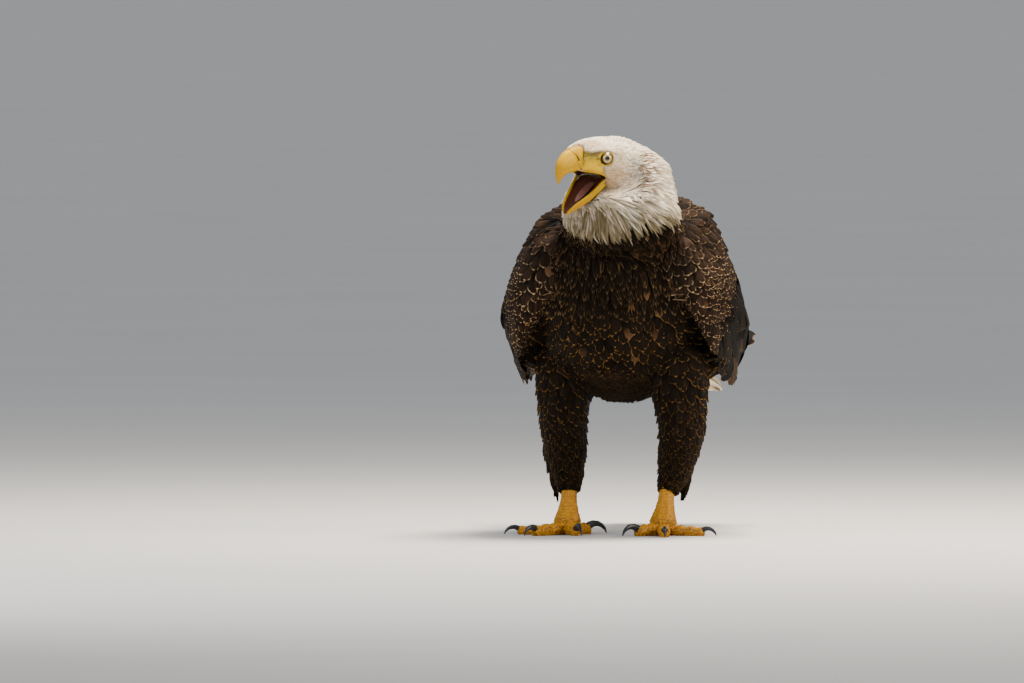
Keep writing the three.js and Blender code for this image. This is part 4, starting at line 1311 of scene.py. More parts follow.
# %% [markdown]
# ## Wing and tail quills
# The long feathers are few and each has its own place: primaries make the wing's tip, secondaries its rear
# edge, tertials cover both, and shorter coverts lie over their roots like roof tiles. Each quill's spine is
# drawn in side view and dropped straight onto the skin, which gives its third dimension. The vanes are then
# stacked in thin layers, inner over outer, as a real wing folds.

# %% Drop a spine on the skin
SPINE_STEPS = 16
QUILL_COLUMNS = 7
SHAFT_AT = -0.3  # the vane is narrower in front of the shaft
along_spine = 1 - (1 - np.linspace(0, 1, SPINE_STEPS)) ** 1.8  # steps crowd towards the rounded tip
across_vane = np.linspace(-1, 1, QUILL_COLUMNS)


def surface_of(kinds):
    """The part of the skin that belongs to some solids, as a tree for rays."""
    keep = np.array([name.startswith(kinds) for name in skin_part])
    faces = [p.vertices[:] for p in skin.data.polygons if all(keep[v] for v in p.vertices)]
    return BVHTree.FromPolygons([v.co for v in skin.data.vertices], faces)


def dropped(start, way, surface):
    """Where rays along way meet a surface, smoothed along each spine. Misses take their neighbour's depth."""
    spots = np.zeros_like(start)
    facing = np.zeros_like(start)
    for i, line in enumerate(start):
        hits = [surface.ray_cast(Vector(p), Vector(way), 1.2) for p in line]
        at = [t for t, hit in zip(along_spine, hits) if hit[0] is not None]
        depth = np.interp(along_spine, at, [hit[3] for hit in hits if hit[0] is not None])
        depth = np.polyval(np.polyfit(along_spine, depth, 4), along_spine)
        spots[i] = line + depth[:, None] * way
        seen = np.array([hit[1] for hit in hits if hit[0] is not None])
        within = np.clip(along_spine, at[0], at[-1])
        facing[i] = np.stack([np.polyval(np.polyfit(at, seen[:, k], 2), within) for k in range(3)], 1)
    return spots, facing / np.linalg.norm(facing, axis=-1, keepdims=True)


def drawn_out(rows, count):
    """Rows of numbers drawn out by Catmull-Rom into count rows, ends included."""
    rows = np.array(rows, float)
    last = len(rows) - 1
    t = np.linspace(0, last, count)
    i = np.minimum(last - 1, t.astype(int))
    f = (t - i)[:, None]
    a, b, c, d = (rows[np.clip(i + k, 0, last)] for k in (-1, 0, 1, 2))
    return b + 0.5 * f * (c - a + f * (2 * a - 5 * b + 4 * c - d + f * (3 * (b - c) + d - a)))


def between(line, count):
    """Places evenly spread along a line through given points, smoothly."""
    return drawn_out(line, count) if count > 1 else np.array(line[:1], float)


def quill_row(roots, tips, count, half, layer, sag=0.0, tip_round=0.5, low=0.8, lift=2.0, arch=0.1):
    """What one row of quills needs: roots and tips in side or top view, half widths and heights in mm."""
    return {
        "roots": between(roots, count),
        "tips": between(tips, count),
        "half": np.interp(np.linspace(0, 1, count), np.linspace(0, 1, len(half)), half),
        "height": low + layer * np.arange(count),
        "sag": sag,
        "tip_round": tip_round,
        "lift": lift,
        "arch": arch,
    }


def row_shapes(row, rng, to_start, way, surface):
    """The vanes of one row, as an array (feather, step, column, 3), and their lengths."""
    t = along_spine
    v = across_vane
    span = np.linalg.norm(row["tips"] - row["roots"], axis=1)
    line = row["roots"][:, None] + (row["tips"] - row["roots"])[:, None] * t[None, :, None]
    line[..., -1] -= row["sag"] * np.sin(math.pi * t) * span[:, None]
    spine, up = dropped(to_start(line), way, surface)
    ahead = np.gradient(spine, axis=1)
    ahead /= np.linalg.norm(ahead, axis=-1, keepdims=True)
    aside = np.cross(up, ahead)
    swell = np.interp(t, [0, 0.12, 0.4, 1], [0.45, 0.8, 1, 0.96])
    close = ramp(t - 0.8, 0, 0.2)
    outline = swell * np.maximum(1 - close**2.2, 0) ** row["tip_round"]
    half = (row["half"] * MM * rng.uniform(0.94, 1.06, len(span)))[:, None, None]
    wide = half * outline[None, :, None] * v
    barb_sweep = 0.3 * half * v**2 * (t * (1 - close))[None, :, None]
    ridge = 0.5 * MM * np.exp(-(((v - SHAFT_AT) / 0.22) ** 2))
    height = (row["height"][:, None] + row["lift"] * t)[..., None] * MM
    rise = height - row["arch"] * half * v**2 + ridge
    points = spine[:, :, None] + aside[:, :, None] * wide[..., None]
    points = points + ahead[:, :, None] * barb_sweep[..., None] + up[:, :, None] * rise[..., None]
    return points, np.linalg.norm(spine[:, -1] - spine[:, 0], axis=1)


def quills(rows, to_start, way, surface, quill_marks, seed):
    """Vanes of all rows, and for each its width, length, tone and marks."""
    rng = np.random.default_rng(seed)
    shapes = []
    facts = []
    for row in rows:
        points, length = row_shapes(row, rng, to_start, way, surface)
        shapes.append(points)
        for i, half in enumerate(row["half"]):
            facts.append([half * 2 * MM, length[i], rng.random(), *quill_marks(i, len(length), rng)])
    return np.concatenate(shapes), np.array(facts)


QUILL_MARKS = ("edge", "tan", "pale", "rust", "blush", "shade", "sallow", "lines_and_painted_shadow")


def quill_piece(name, shapes, facts, finish, patch=0.006):
    count = len(shapes)
    each = SPINE_STEPS * QUILL_COLUMNS
    mesh = joined_grids(name, shapes)
    per_point = np.repeat(facts, each, 0)
    store(mesh, "size", np.column_stack([per_point[:, :2], np.ones(len(per_point))]), "FLOAT_VECTOR")
    store(mesh, "tone", per_point[:, 2])
    ends = np.tile(np.repeat(ramp(along_spine - 0.84, 0, 0.1), QUILL_COLUMNS), count)
    for i, key in enumerate(QUILL_MARKS):
        store(mesh, key, per_point[:, 3 + i] * (ends if key == "rust" else 1))
    v = across_vane
    from_shaft = np.where(v > SHAFT_AT, (v - SHAFT_AT) / (1 - SHAFT_AT), (v - SHAFT_AT) / (1 + SHAFT_AT))
    own = np.stack(np.broadcast_arrays(from_shaft[None] / 2 + 0.5, along_spine[:, None]), -1).reshape(-1, 2)
    own = np.tile(own, (count, 1))
    _, _, root_uv = on_skin(shapes[:, 0, QUILL_COLUMNS // 2])
    lay_map(mesh, "vane", own)
    lay_map(mesh, BAKE_MAP, np.repeat(root_uv, each, 0) + (own - 0.5) * patch)
    mesh.materials.append(finish)
    print(name, count, "quills")
    return mesh_object(name, mesh)

# %% Wing rows, as y and z in side view
PRIMARIES = quill_row(
    [(-50, 292), (60, 300)],
    [(426, 280), (430, 289), (408, 284), (366, 274), (316, 262), (268, 252)],
    6, [11, 11, 12, 14, 15, 16], 0.3, low=0.6, lift=1.0, tip_round=0.6,
)
SECONDARIES = quill_row(
    [(-58, 300), (60, 352)],
    [(12, 243), (62, 227), (118, 219), (176, 226), (232, 243), (276, 262)],
    10, [13, 16, 17, 17], 0.28, sag=0.03, low=1.4, lift=1.6,
)
TERTIALS = quill_row([(30, 372), (62, 408)], [(296, 288), (262, 308)], 3, [18, 20], 0.7, sag=0.03, low=3.6)
ALULA = quill_row([(-82, 314), (-70, 304)], [(0, 266), (20, 254)], 3, [8, 9], 0.6, low=2.4, lift=1.5)
PRIMARY_COVERTS = quill_row(
    [(-76, 316), (-58, 312)],
    [(8, 278), (54, 260)],
    4, [9, 11], 0.5, low=2.8, lift=1.5,
)
GREATER_COVERTS = quill_row(
    [(-66, 322), (52, 376)],
    [(34, 272), (116, 268), (196, 292)],
    9, [12, 15], 0.3, sag=0.02, low=3.0, lift=1.8,
)
MEDIAN_COVERTS = quill_row(
    [(-74, 340), (40, 398)],
    [(0, 302), (70, 312), (140, 340)],
    9, [11, 14], 0.3, low=3.8,
)
WING_ROWS = [PRIMARIES, SECONDARIES, TERTIALS, ALULA, PRIMARY_COVERTS, GREATER_COVERTS, MEDIAN_COVERTS]
INNER_PRIMARIES = quill_row(
    [(150, 262), (170, 290)],
    [(420, 276), (424, 290), (370, 280), (320, 272)],
    5, [13, 15], 0.3, low=0.4, lift=0.6,
)


def beside(x):
    """Turns places in side view into starts of rays, at x in the body's frame."""
    return lambda line: moved(np.concatenate([np.full((*line.shape[:-1], 1), x), line], -1), BODY)


def wing_marks(i, count, rng):
    """Marks of quill i of count, in the order of QUILL_MARKS: a worn edge, and a tan web on one in ten.
    i and count are not used.
    """
    return [0.3 + 0.5 * rng.random(), 0.2 * (rng.random() < 0.1), 0, 0, 0, 0, 0, 0]


quill_finish = brown_feather("flight_feather_keratin", "#0a0705", "#1b140e", "#8f7552", 0.7, 0.93, 0.975)
wing_quills = []
for side, word in ((1, "left"), (-1, "right")):
    wing_surface = surface_of(f"wing_{word}")
    outwards = np.array([side, 0.0, 0.0])
    shapes, facts = quills(WING_ROWS, beside(side * 420.0), -outwards, wing_surface, wing_marks, 30 + side)
    from_inside = beside(side * 20.0)
    inner, inner_facts = quills([INNER_PRIMARIES], from_inside, outwards, wing_surface, wing_marks, 33 + side)
    shapes, facts = np.concatenate([shapes, inner]), np.concatenate([facts, inner_facts])
    wing_quills.append(quill_piece(f"quills_{word}", shapes, facts, quill_finish))

# %% [markdown]
# Nothing of the hand's flesh shows on a folded wing: the primaries reach past it and cover it. The skin's
# blade is therefore squeezed in height towards its middle line, more and more towards the tip.

# %% Tuck the wing tips' skin under their quills
TUCK_FROM = 140  # how far back the tuck begins, in the body's frame
skin_drawn = in_body(places(skin.data))
for word in ("left", "right"):
    blade = np.char.startswith(skin_part, f"wing_{word}") & (skin_drawn[:, 1] > TUCK_FROM)
    back, high = skin_drawn[blade, 1], skin_drawn[blade, 2]
    middle_line = np.polyval(np.polyfit(back, high, 3), back)
    skin_drawn[blade, 2] -= 0.45 * ramp(back, TUCK_FROM, TUCK_FROM + 120) * (high - middle_line)
    print("tucked", int(blade.sum()), "vertices of the", word, "wing")
set_places(skin.data, moved(skin_drawn, BODY))

# %% Tail quills, as x and y seen from above
RECTRICES = quill_row(
    [(-34, 196), (0, 190), (36, 196)],
    [(-50, 424), (-30, 438), (20, 446), (66, 442), (88, 430)],
    12, [10, 12.5, 13.5, 12.5, 10], 0.0, low=0.6, lift=0.4, tip_round=0.4, arch=0.05,
)
from_centre = np.abs(np.arange(12) - 5.5)


def tail_marks(i, count, rng):
    """Marks of quill i of count: little rust on most, and a stained web on the last."""
    stained = 1.0 if i == count - 1 else 0.25 * rng.random()
    return [0, 0, 0, stained, 0.15 * rng.random(), 0.3 * rng.random(), 0, 0]


def level_with(z):
    """Turns places seen from above into starts of rays at a height."""
    return lambda line: moved(np.concatenate([line, np.full((*line.shape[:-1], 1), z)], -1), BODY)


tail_surface = surface_of("tail")
upper_row = {**RECTRICES, "height": 2.4 - 0.34 * from_centre}
lower_row = {**RECTRICES, "height": 0.4 + 0.3 * from_centre}
up_axis = np.array([0.0, 0.0, 1.0])
upper_shapes, upper_facts = quills([upper_row], level_with(600.0), -up_axis, tail_surface, tail_marks, 41)
lower_shapes, lower_facts = quills([lower_row], level_with(-100.0), up_axis, tail_surface, tail_marks, 42)
tail_shapes = np.concatenate([upper_shapes, lower_shapes])
tail_facts = np.concatenate([upper_facts, lower_facts])
tail_quills = quill_piece("quills_tail", tail_shapes, tail_facts, white_finish)

# %% [markdown]
# ## The bill
# Horn over bone: it grows from a soft cere, curves over in one line and ends in a hook. The upper bill is
# lofted through a few measured sections, from a point on its ridge to a point on its biting edge, with a
# hollow palate below. A loft keeps that long smooth curve better than any amount of pushing on a cube.

# %% Loft helpers
def capped(name, rings):
    """A closed skin over rings, with a pole at each end."""
    count, sides = rings.shape[:2]
    number = np.arange(count * sides).reshape(count, sides)
    number = np.concatenate([number, number[:, :1]], 1)
    start = [(a, b, count * sides) for a, b in zip(number[0, 1:], number[0])]
    end = [(a, b, count * sides + 1) for a, b in zip(number[-1], number[-1, 1:])]
    points = np.concatenate([rings.reshape(-1, 3), [rings[0].mean(0), rings[-1].mean(0)]])
    mesh = bpy.data.meshes.new(name)
    mesh.from_pydata(points.tolist(), [], quads_of(number).tolist() + start + end)
    shape = bmesh.new()
    shape.from_mesh(mesh)
    bmesh.ops.recalc_face_normals(shape, faces=shape.faces)
    shape.to_mesh(mesh)
    shape.free()
    mesh.shade_smooth()
    return mesh


def store_on_rings(mesh, name, values, poles=(0, 0)):
    """Keeps one number for each point of the rings and for the two poles."""
    store(mesh, name, np.concatenate([np.ravel(values), poles]))


def place_mesh(mesh, matrix):
    set_places(mesh, moved(places(mesh), matrix))
    return mesh

# %% Upper bill and cere
# Forward place of the ridge, its height, forward place of the biting edge, its height, half width, in mm.
UPPER_BILL = [
    (36, 15, 20, -20, 16.5),
    (46, 13.5, 31, -19.5, 15),
    (56, 11, 43, -19.5, 13.5),
    (66, 8, 52, -20.8, 12.3),
    (74.5, 1.5, 60, -22, 11),
    (81.5, -6.5, 66.5, -24.2, 9.2),
    (84.8, -15, 71, -27, 7.2),
    (84, -25.5, 74, -31, 5),
    (80.5, -34.5, 75.6, -36.2, 2.7),
    (77.2, -40, 76.6, -40.3, 0.7),
]
LAST_ROW = len(UPPER_BILL) - 1
CERE_END = 2.38  # where the cere gives way to horn on the ridge, counted in those rows
CERE_LEAN = 0.4  # and how much sooner it does so at the biting edge, as a share
WALL = 0.82  # share of the half turn that is outer wall; the rest is palate
WALL_POINTS = 48
PALATE_POINTS = 9
STATIONS = 360  # sections worked out from end to end, of which each piece takes its own


def bill_ring(ridge_f, ridge_z, edge_f, edge_z, half):
    """One section: down one wall, in under the palate, out again and up. Also each point's way down."""
    ridge = np.array([0, -ridge_f, ridge_z])
    edge = np.array([0, -edge_f, edge_z])
    turn = np.linspace(0, WALL * math.pi, WALL_POINTS)
    full = 0.5 - 0.5 * np.cos(turn)
    wide = np.abs(np.sin(turn)) ** 0.75 * (0.72 + 0.42 * full) * half
    down = full / full[-1]
    inner = np.linspace(0.88, 0, PALATE_POINTS)
    wide = np.concatenate([wide, wide[-1] * inner])
    down = np.concatenate([down, 0.86 + 0.1 * inner**2])
    one_side = ridge + down[:, None] * (edge - ridge) + wide[:, None] * np.array([1, 0, 0])
    other = one_side[1:-1][::-1] * (-1, 1, 1)
    return np.concatenate([one_side, other]), np.concatenate([down, down[1:-1][::-1]])


def upper_piece(name, start, stop, count, swell):
    """Part of the upper bill between two stations. Each is a number of rows and a lean down the side."""
    fine = drawn_out(UPPER_BILL, STATIONS + 1)
    whole = np.array([bill_ring(*row)[0] for row in fine])
    down = bill_ring(*fine[0])[1]
    first, last = (row * (1 - lean * down**4) / LAST_ROW for row, lean in (start, stop))
    u = np.linspace(0, 1, count)[:, None]
    station = first + u * (last - first)
    index = (station * STATIONS).round().astype(int)
    rings = whole[index, np.arange(len(down))]
    middle_line = rings.mean(1, keepdims=True)
    easing = np.minimum(1, (np.arange(count)[::-1] / 3)) ** 0.5
    rings = middle_line + (rings - middle_line) * (1 + swell * easing[:, None, None])
    mesh = capped(name, rings)
    inside = np.zeros(rings.shape[:2])
    inside[:, WALL_POINTS : WALL_POINTS + 2 * PALATE_POINTS - 3] = 1
    store_on_rings(mesh, "inside", inside)
    store_on_rings(mesh, "station", station, (station[0, 0], station[-1, 0]))
    return mesh


NOSTRIL = [(-54, 3.5), (-48.5, -4)]  # y and z in side view
CREASE = [(-53, 8), (-47.5, 2), (-42, -6), (-36, -13)]
horn_root = (CERE_END - 0.25, CERE_LEAN)  # the horn starts a little way under the cere
horn = mesh_object("upper_horn", upper_piece("upper_horn", horn_root, (LAST_ROW, 0), 96, 0))
cere = mesh_object("cere_skin", upper_piece("cere_skin", (0, 0), (CERE_END, CERE_LEAN), 70, 0.045))
cere_points = places(cere.data)
in_side_view = cere_points[:, 1:]
slit = along_line(in_side_view, NOSTRIL, 2.0)
nostril_rim = along_line(in_side_view, NOSTRIL, 3.6) - slit
crease = along_line(in_side_view, CREASE, 1.1)
relief = 0.7 * nostril_rim - 2.2 * slit - 0.5 * crease
set_places(cere.data, cere_points + normals(cere.data) * relief[:, None])
store(cere.data, "slit", np.maximum(slit, 0.45 * crease))
for piece in (horn, cere):
    place_mesh(piece.data, HEAD)
print("upper bill:", len(horn.data.polygons) + len(cere.data.polygons), "faces")

# %% [markdown]
# ## The lower bill, lips and tongue
# The lower bill is a trough with a thin wall. It is made level, then dropped by the angle at which the
# mouth stands open. Soft yellow lips run from the cere to the corner of the mouth and down along the
# trough's rim: a tube along one smooth line draws them in a single sweep.

# %% Lower bill
JAW_DROP = 38  # degrees
GAPE = Vector((0, 7.5, -28))  # the corner of the mouth
JAW = Matrix.Translation(GAPE) @ Matrix.Rotation(math.radians(JAW_DROP), 4, "X")
# Distance from the corner of the mouth, height of the rim, depth of the keel, half width, in mm.
LOWER_BILL = [
    (-4, 1, -13, 25.5),
    (14, -0.5, -14, 24.5),
    (32, -1.5, -14, 21.5),
    (50, -1, -12.5, 17),
    (64, -0.5, -10.5, 12.5),
    (75, -2, -8.5, 8),
    (80.5, -3.6, -7.4, 4.6),
    (82.3, -4.6, -6.4, 1.6),
]
JAW_LENGTH = 82
LIP_WALL = 2.2
TROUGH = slice(34, 51)  # the points of a ring that line the trough


def jaw_ring(forward, rim, keel, half):
    centre = (rim + keel) / 2
    tall = (rim - keel) / 2
    turn = np.radians(np.linspace(165, 375, 31))
    c, s = np.cos(turn), np.sin(turn)
    x = np.sign(c) * np.abs(c) ** 0.77 * half
    z = centre + np.sign(s) * np.abs(s) ** 0.77 * tall
    lip = min(LIP_WALL, half * 0.3)
    inner = np.radians(np.linspace(0, 180, 19))
    floor_depth = max(0.6, (rim - keel) - 4.5)
    inner_x = np.cos(inner) * (half - lip)
    inner_z = rim - 0.6 - np.sin(inner) ** 0.7 * (floor_depth - 0.6)
    lips = [(half - 0.15 * lip, rim - 0.5), (half - 0.5 * lip, rim)]
    x = np.concatenate([x, [p[0] for p in lips], inner_x, [-p[0] for p in lips[::-1]]])
    z = np.concatenate([z, [p[1] for p in lips], inner_z, [p[1] for p in lips[::-1]]])
    return np.column_stack([x, np.full(len(x), -forward), z])


jaw_rows = drawn_out(LOWER_BILL, 64)
rings = np.array([jaw_ring(*row) for row in jaw_rows])
lower_horn = mesh_object("lower_horn", capped("lower_horn", rings))
inside = np.zeros(rings.shape[:2])
inside[:, TROUGH] = 1
store_on_rings(lower_horn.data, "inside", inside)
far_out = np.repeat(jaw_rows[:, 0] / JAW_LENGTH, rings.shape[1])
store_on_rings(lower_horn.data, "station", far_out, (0, 1))
place_mesh(lower_horn.data, HEAD @ JAW)

# %% Lips
def tube(name, path, radii, sides=12):
    """A closed tube along points, with a radius at each. It may run anywhere but straight sideways."""
    path = np.asarray(path, float)
    ahead = np.gradient(path, axis=0)
    ahead /= np.linalg.norm(ahead, axis=1)[:, None]
    first = np.cross(ahead, (1.0, 0, 0))
    first /= np.linalg.norm(first, axis=1)[:, None]
    second = np.cross(first, ahead)
    turn = np.linspace(0, math.tau, sides, endpoint=False)[:, None]
    ring = np.cos(turn) * first[:, None] + np.sin(turn) * second[:, None]
    return capped(name, path[:, None] + np.asarray(radii)[:, None, None] * ring)


UPPER_LIP = [(10, -40, -19.6), (17, -31, -20), (23.5, -21.5, -20.6), (27.8, -11.5, -22.2), (28.2, -1.5, -25)]
CORNER = (25.6, 7, -29.2)
lower_lip = [(half - 0.9, -forward, rim + 0.1) for forward, rim, _, half in LOWER_BILL[1:-1]]
lip_line = UPPER_LIP + [CORNER] + moved(lower_lip, JAW).tolist()
LIP_STEPS = 110
lip_path = drawn_out(lip_line, LIP_STEPS)
stops = [0, 0.06, 0.3, 0.42, 0.6, 0.9, 1]
lip_size = np.interp(np.linspace(0, 1, LIP_STEPS), stops, [0.6, 1.3, 1.9, 2.3, 2, 1.5, 0.8])
lips = []
for side, word in ((1, "left"), (-1, "right")):
    lip = mesh_object(f"lip_{word}", tube("lip", lip_path * (side, 1, 1), lip_size))
    place_mesh(lip.data, HEAD)
    lips.append(lip)

# %% Tongue
# Distance from the corner of the mouth, top, underside, half width, in mm.
TONGUE = [
    (6, -7, -9.5, 5.5),
    (18, -5, -9, 6.6),
    (32, -4, -8.6, 6.4),
    (43, -4.2, -8.2, 5.2),
    (50, -5, -7.6, 3),
    (53, -6, -7, 0.8),
]


def tongue_ring(forward, top, bottom, half):
    turn = np.linspace(0, math.tau, 24, endpoint=False)
    groove = 0.9 * np.exp(-((np.cos(turn) / 0.25) ** 2)) * (np.sin(turn) > 0) * half / 7
    z = (top + bottom) / 2 + np.sin(turn) * (top - bottom) / 2 - groove
    return np.column_stack([np.cos(turn) * half, np.full(24, -forward), z])


tongue_rings = np.array([tongue_ring(*row) for row in drawn_out(TONGUE, 30)])
tongue = mesh_object("tongue_flesh", capped("tongue_flesh", tongue_rings))
place_mesh(tongue.data, HEAD @ JAW)

# %% Ridges of the palate
PALATE_LINES = [
    [(0, -62, -17.5), (0, -48, -16.5), (0, -34, -17.5), (0, -20, -19.5)],
    [(4, -58, -18), (6, -44, -17.5), (8, -30, -18.5), (11, -14, -21.5)],
    [(8, -50, -19), (12, -38, -18.5), (16, -26, -19.5), (20, -12, -22.5)],
]
ridges = []
for line in PALATE_LINES:
    for side in (1, -1) if line[0][0] else (1,):
        path = drawn_out(np.array(line, float) * (side, 1, 1), 24)
        ridge = tube("ridge", path, 1.3 * np.sin(np.linspace(0.15, math.pi - 0.15, 24)) + 0.2, 8)
        ridges.append(place_mesh(ridge, HEAD))
palate_shape = bmesh.new()
for ridge in ridges:
    palate_shape.from_mesh(ridge)
palate_mesh = bpy.data.meshes.new("palate_ridges")
palate_shape.to_mesh(palate_mesh)
palate_shape.free()
palate_mesh.shade_smooth()
palate = mesh_object("palate_ridges", palate_mesh)

# %% [markdown]
# ## The eyes
# A ball with a slight bulge of clear cornea over a flat iris. The iris of an old bird is pale cream, with a
# fine dark rim. One closed ball carries all of it: its colours read how far each point is from the line of
# sight, so the rings stay true circles.

# %% Eyeballs
GAZE = np.array([0.70, -0.71, 0.05])
CORNEA_REACH = 8.2  # mm
CORNEA_RISE = 0.7


def eyeball(name, side):
    aim = GAZE / np.linalg.norm(GAZE) * (side, 1, 1)
    turn = Vector(aim).to_track_quat("Z", "Y").to_matrix()
    polar = np.linspace(0.03, math.pi - 0.03, 56)
    round_turn = np.linspace(0, math.tau, 48, endpoint=False)
    from_line = EYE_RADIUS * np.sin(polar)
    bulge = np.where(polar < math.pi / 2, np.clip(1 - (from_line / CORNEA_REACH) ** 2, 0, 1), 0)
    radius = EYE_RADIUS - 0.15 + CORNEA_RISE * bulge
    ring = np.stack([np.cos(round_turn), np.sin(round_turn), np.zeros(48)], -1)
    rings = ring[None] * (radius * np.sin(polar))[:, None, None]
    rings[..., 2] = (radius * np.cos(polar))[:, None]
    mesh = capped(name, rings)
    ball = places(mesh)
    behind = ball[:, 2] < 0
    store(mesh, "ray", np.where(behind, EYE_RADIUS, np.linalg.norm(ball[:, :2], axis=1)))
    store(mesh, "round", np.arctan2(ball[:, 1], ball[:, 0]))
    set_places(mesh, ball @ np.array(turn).T + (side * EYE_SIDE, 0, 0))
    return mesh_object(name, place_mesh(mesh, HEAD))


eyes = [eyeball("eyeball_left", 1), eyeball("eyeball_right", -1)]
print("eyes:", EYE_RADIUS * 2, "mm across")

# %% [markdown]
# ## Finishes of the head
# The cere is living skin with a waxy look. Horn is denser: smooth, a little translucent, with fine growth
# lines and brown specks of wear. The mouth is wet, so it is darker and shinier than dry skin.

# %% Bill, mouth and eye materials
def horn_material(name, rear, tip):
    # Beta-keratin: deep yellow with growth lines across it and a few brown specks of wear.
    material, tree, place, cloud = clouded_material(name, 90.0)
    names = ("station", "inside")
    marked = {name: add(tree, READ, {"attribute_name": name}).outputs["Fac"] for name in names}
    station = marked["station"]
    outer = add(tree, EASE, SMOOTH, {0: station, 1: 0.2, 2: 0.9})
    body = add(tree, MIX, BLEND, {"Factor": outer, "A": colour(rear), "B": colour(tip)})
    speck = add(tree, "ShaderNodeTexVoronoi", None, {"Vector": place, "Scale": 330.0})
    small = add(tree, EASE, SMOOTH, {0: speck.outputs["Distance"], 1: 0.24, 2: 0.1})
    where = add(tree, "ShaderNodeTexNoise", None, {"Vector": place, "Scale": 60.0})
    few = add(tree, MATH, TIMES, {0: small, 1: add(tree, EASE, SMOOTH, {0: where, 1: 0.52, 2: 0.66})})
    patches = add(tree, EASE, SMOOTH, {0: cloud, 1: 0.5, 2: 0.8})
    for share, code in ((patches, "#946800"), (few, "#3a1f04"), (marked["inside"], "#4e2a1e")):
        body = add(tree, MIX, BLEND, {"Factor": share, "A": body, "B": colour(code)})
    growth = add(tree, MATH, TIMES, {0: station, 1: 260.0})
    growth_lines = add(tree, MATH, {"operation": "SINE"}, {0: growth})
    height = add(tree, MATH, TIMES_PLUS, {0: cloud, 1: 2.0, 2: growth_lines})
    bump = add(tree, "ShaderNodeBump", None, {"Height": height, "Distance": 0.06 * MM, "Strength": 0.5})
    finish_material(tree, Base_Color=body, Roughness=0.36, Normal=bump, Specular_IOR_Level=0.1)
    return material


def cere_material():
    # Waxy living skin: bright yellow, fine pores, and a nostril slit and a crease painted dark as their
    # shade.
    material, tree, _, cloud = clouded_material("cere_wax_skin", 140.0, 3.0)
    names = ("slit", "inside")
    marked = {name: add(tree, READ, {"attribute_name": name}).outputs["Fac"] for name in names}
    body = add(tree, MIX, BLEND, {"Factor": cloud, "A": colour("#a68400"), "B": colour("#957000")})
    # Painted shade: the nostril's opening and the crease beside it are darkened.
    slit_shade = add(tree, EASE, SMOOTH, {0: marked["slit"], 1: 0.3, 2: 0.75})
    for share, code in ((slit_shade, "#1c0d03"), (marked["inside"], "#4a2a20")):
        body = add(tree, MIX, BLEND, {"Factor": share, "A": body, "B": colour(code)})
    bump = add(tree, "ShaderNodeBump", None, {"Height": cloud, "Distance": 0.15 * MM, "Strength": 0.5})
    finish_material(tree, Base_Color=body, Roughness=0.4, Normal=bump, Specular_IOR_Level=0.15)
    return material


def mouth_material():
    # Wet mucous membrane: dusky pink brown with a moist shine.
    material, tree, _, cloud = clouded_material("mouth_membrane", 160.0, 3.0)
    body = add(tree, MIX, BLEND, {"Factor": cloud, "A": colour("#8a5a4c"), "B": colour("#5e362c")})
    bump = add(tree, "ShaderNodeBump", None, {"Height": cloud, "Distance": 0.2 * MM, "Strength": 0.6})
    finish_material(tree, Base_Color=body, Roughness=0.25, Normal=bump, Coat_Weight=0.4)
    return material


def eye_material():
    # Clear wet cornea over a cream iris with fine spokes, a black pupil and a dark rim.
    material, tree = new_material("eye_cornea_and_iris")
    names = ("ray", "round")
    marked = {name: add(tree, READ, {"attribute_name": name}).outputs["Fac"] for name in names}
    spoke = add(tree, MATH, TIMES, {0: marked["round"], 1: 23.0})
    spokes = add(tree, MATH, {"operation": "SINE"}, {0: spoke})
    streak = add(tree, MATH, TIMES_PLUS, {0: spokes, 1: 0.15, 2: 0.4})
    body = add(tree, MIX, BLEND, {"Factor": streak, "A": colour("#a5914a"), "B": colour("#7d6428")})
    # the iris's darker border, the pupil and the rim, each from one radius to another in mm
    for start, stop, code in ((5.6, 7.3, "#4f3b16"), (3.5, 3.1, "#050507"), (7.2, 7.7, "#14100c")):
        share = add(tree, EASE, SMOOTH, {0: marked["ray"], 1: start, 2: stop})
        body = add(tree, MIX, BLEND, {"Factor": share, "A": body, "B": colour(code)})
    finish_material(tree, Base_Color=body, Roughness=0.06, Coat_Weight=1.0, IOR=1.38)
    return material


horn_finish = horn_material("bill_horn_keratin", "#ac8600", "#a47800")
lower_finish = horn_material("lower_bill_keratin", "#aa8600", "#a07200")
cere_finish = cere_material()
mouth_finish = mouth_material()
eye_finish = eye_material()
finishes = [(horn, horn_finish), (lower_horn, lower_finish), (cere, cere_finish)]
finishes += [(tongue, mouth_finish), (palate, mouth_finish)]
finishes += [(lip, cere_finish) for lip in lips] + [(eye, eye_finish) for eye in eyes]
for piece, finish in finishes:
    piece.data.materials.append(finish)
print("head pieces:", [piece.name for piece, _ in finishes])

# %% [markdown]
# ## Feet
# Below the feathers the leg is bare: broad plates lie across the top of each toe and down the front of the
# shank, and small round scales cover the sides. The foot solids are joined and remeshed like the skin.
# Then each vertex is raised or lowered by the scale pattern, so the plates are real relief.

# %% Feet with scales
FOOT_VOXEL = 1.05 * MM
PLATE_PITCH = 4.6  # mm from one plate to the next along a toe
SCALE_SIZE = 2.7  # mm across a small scale
DIGITS = ("hind", "inner", "middle", "outer")


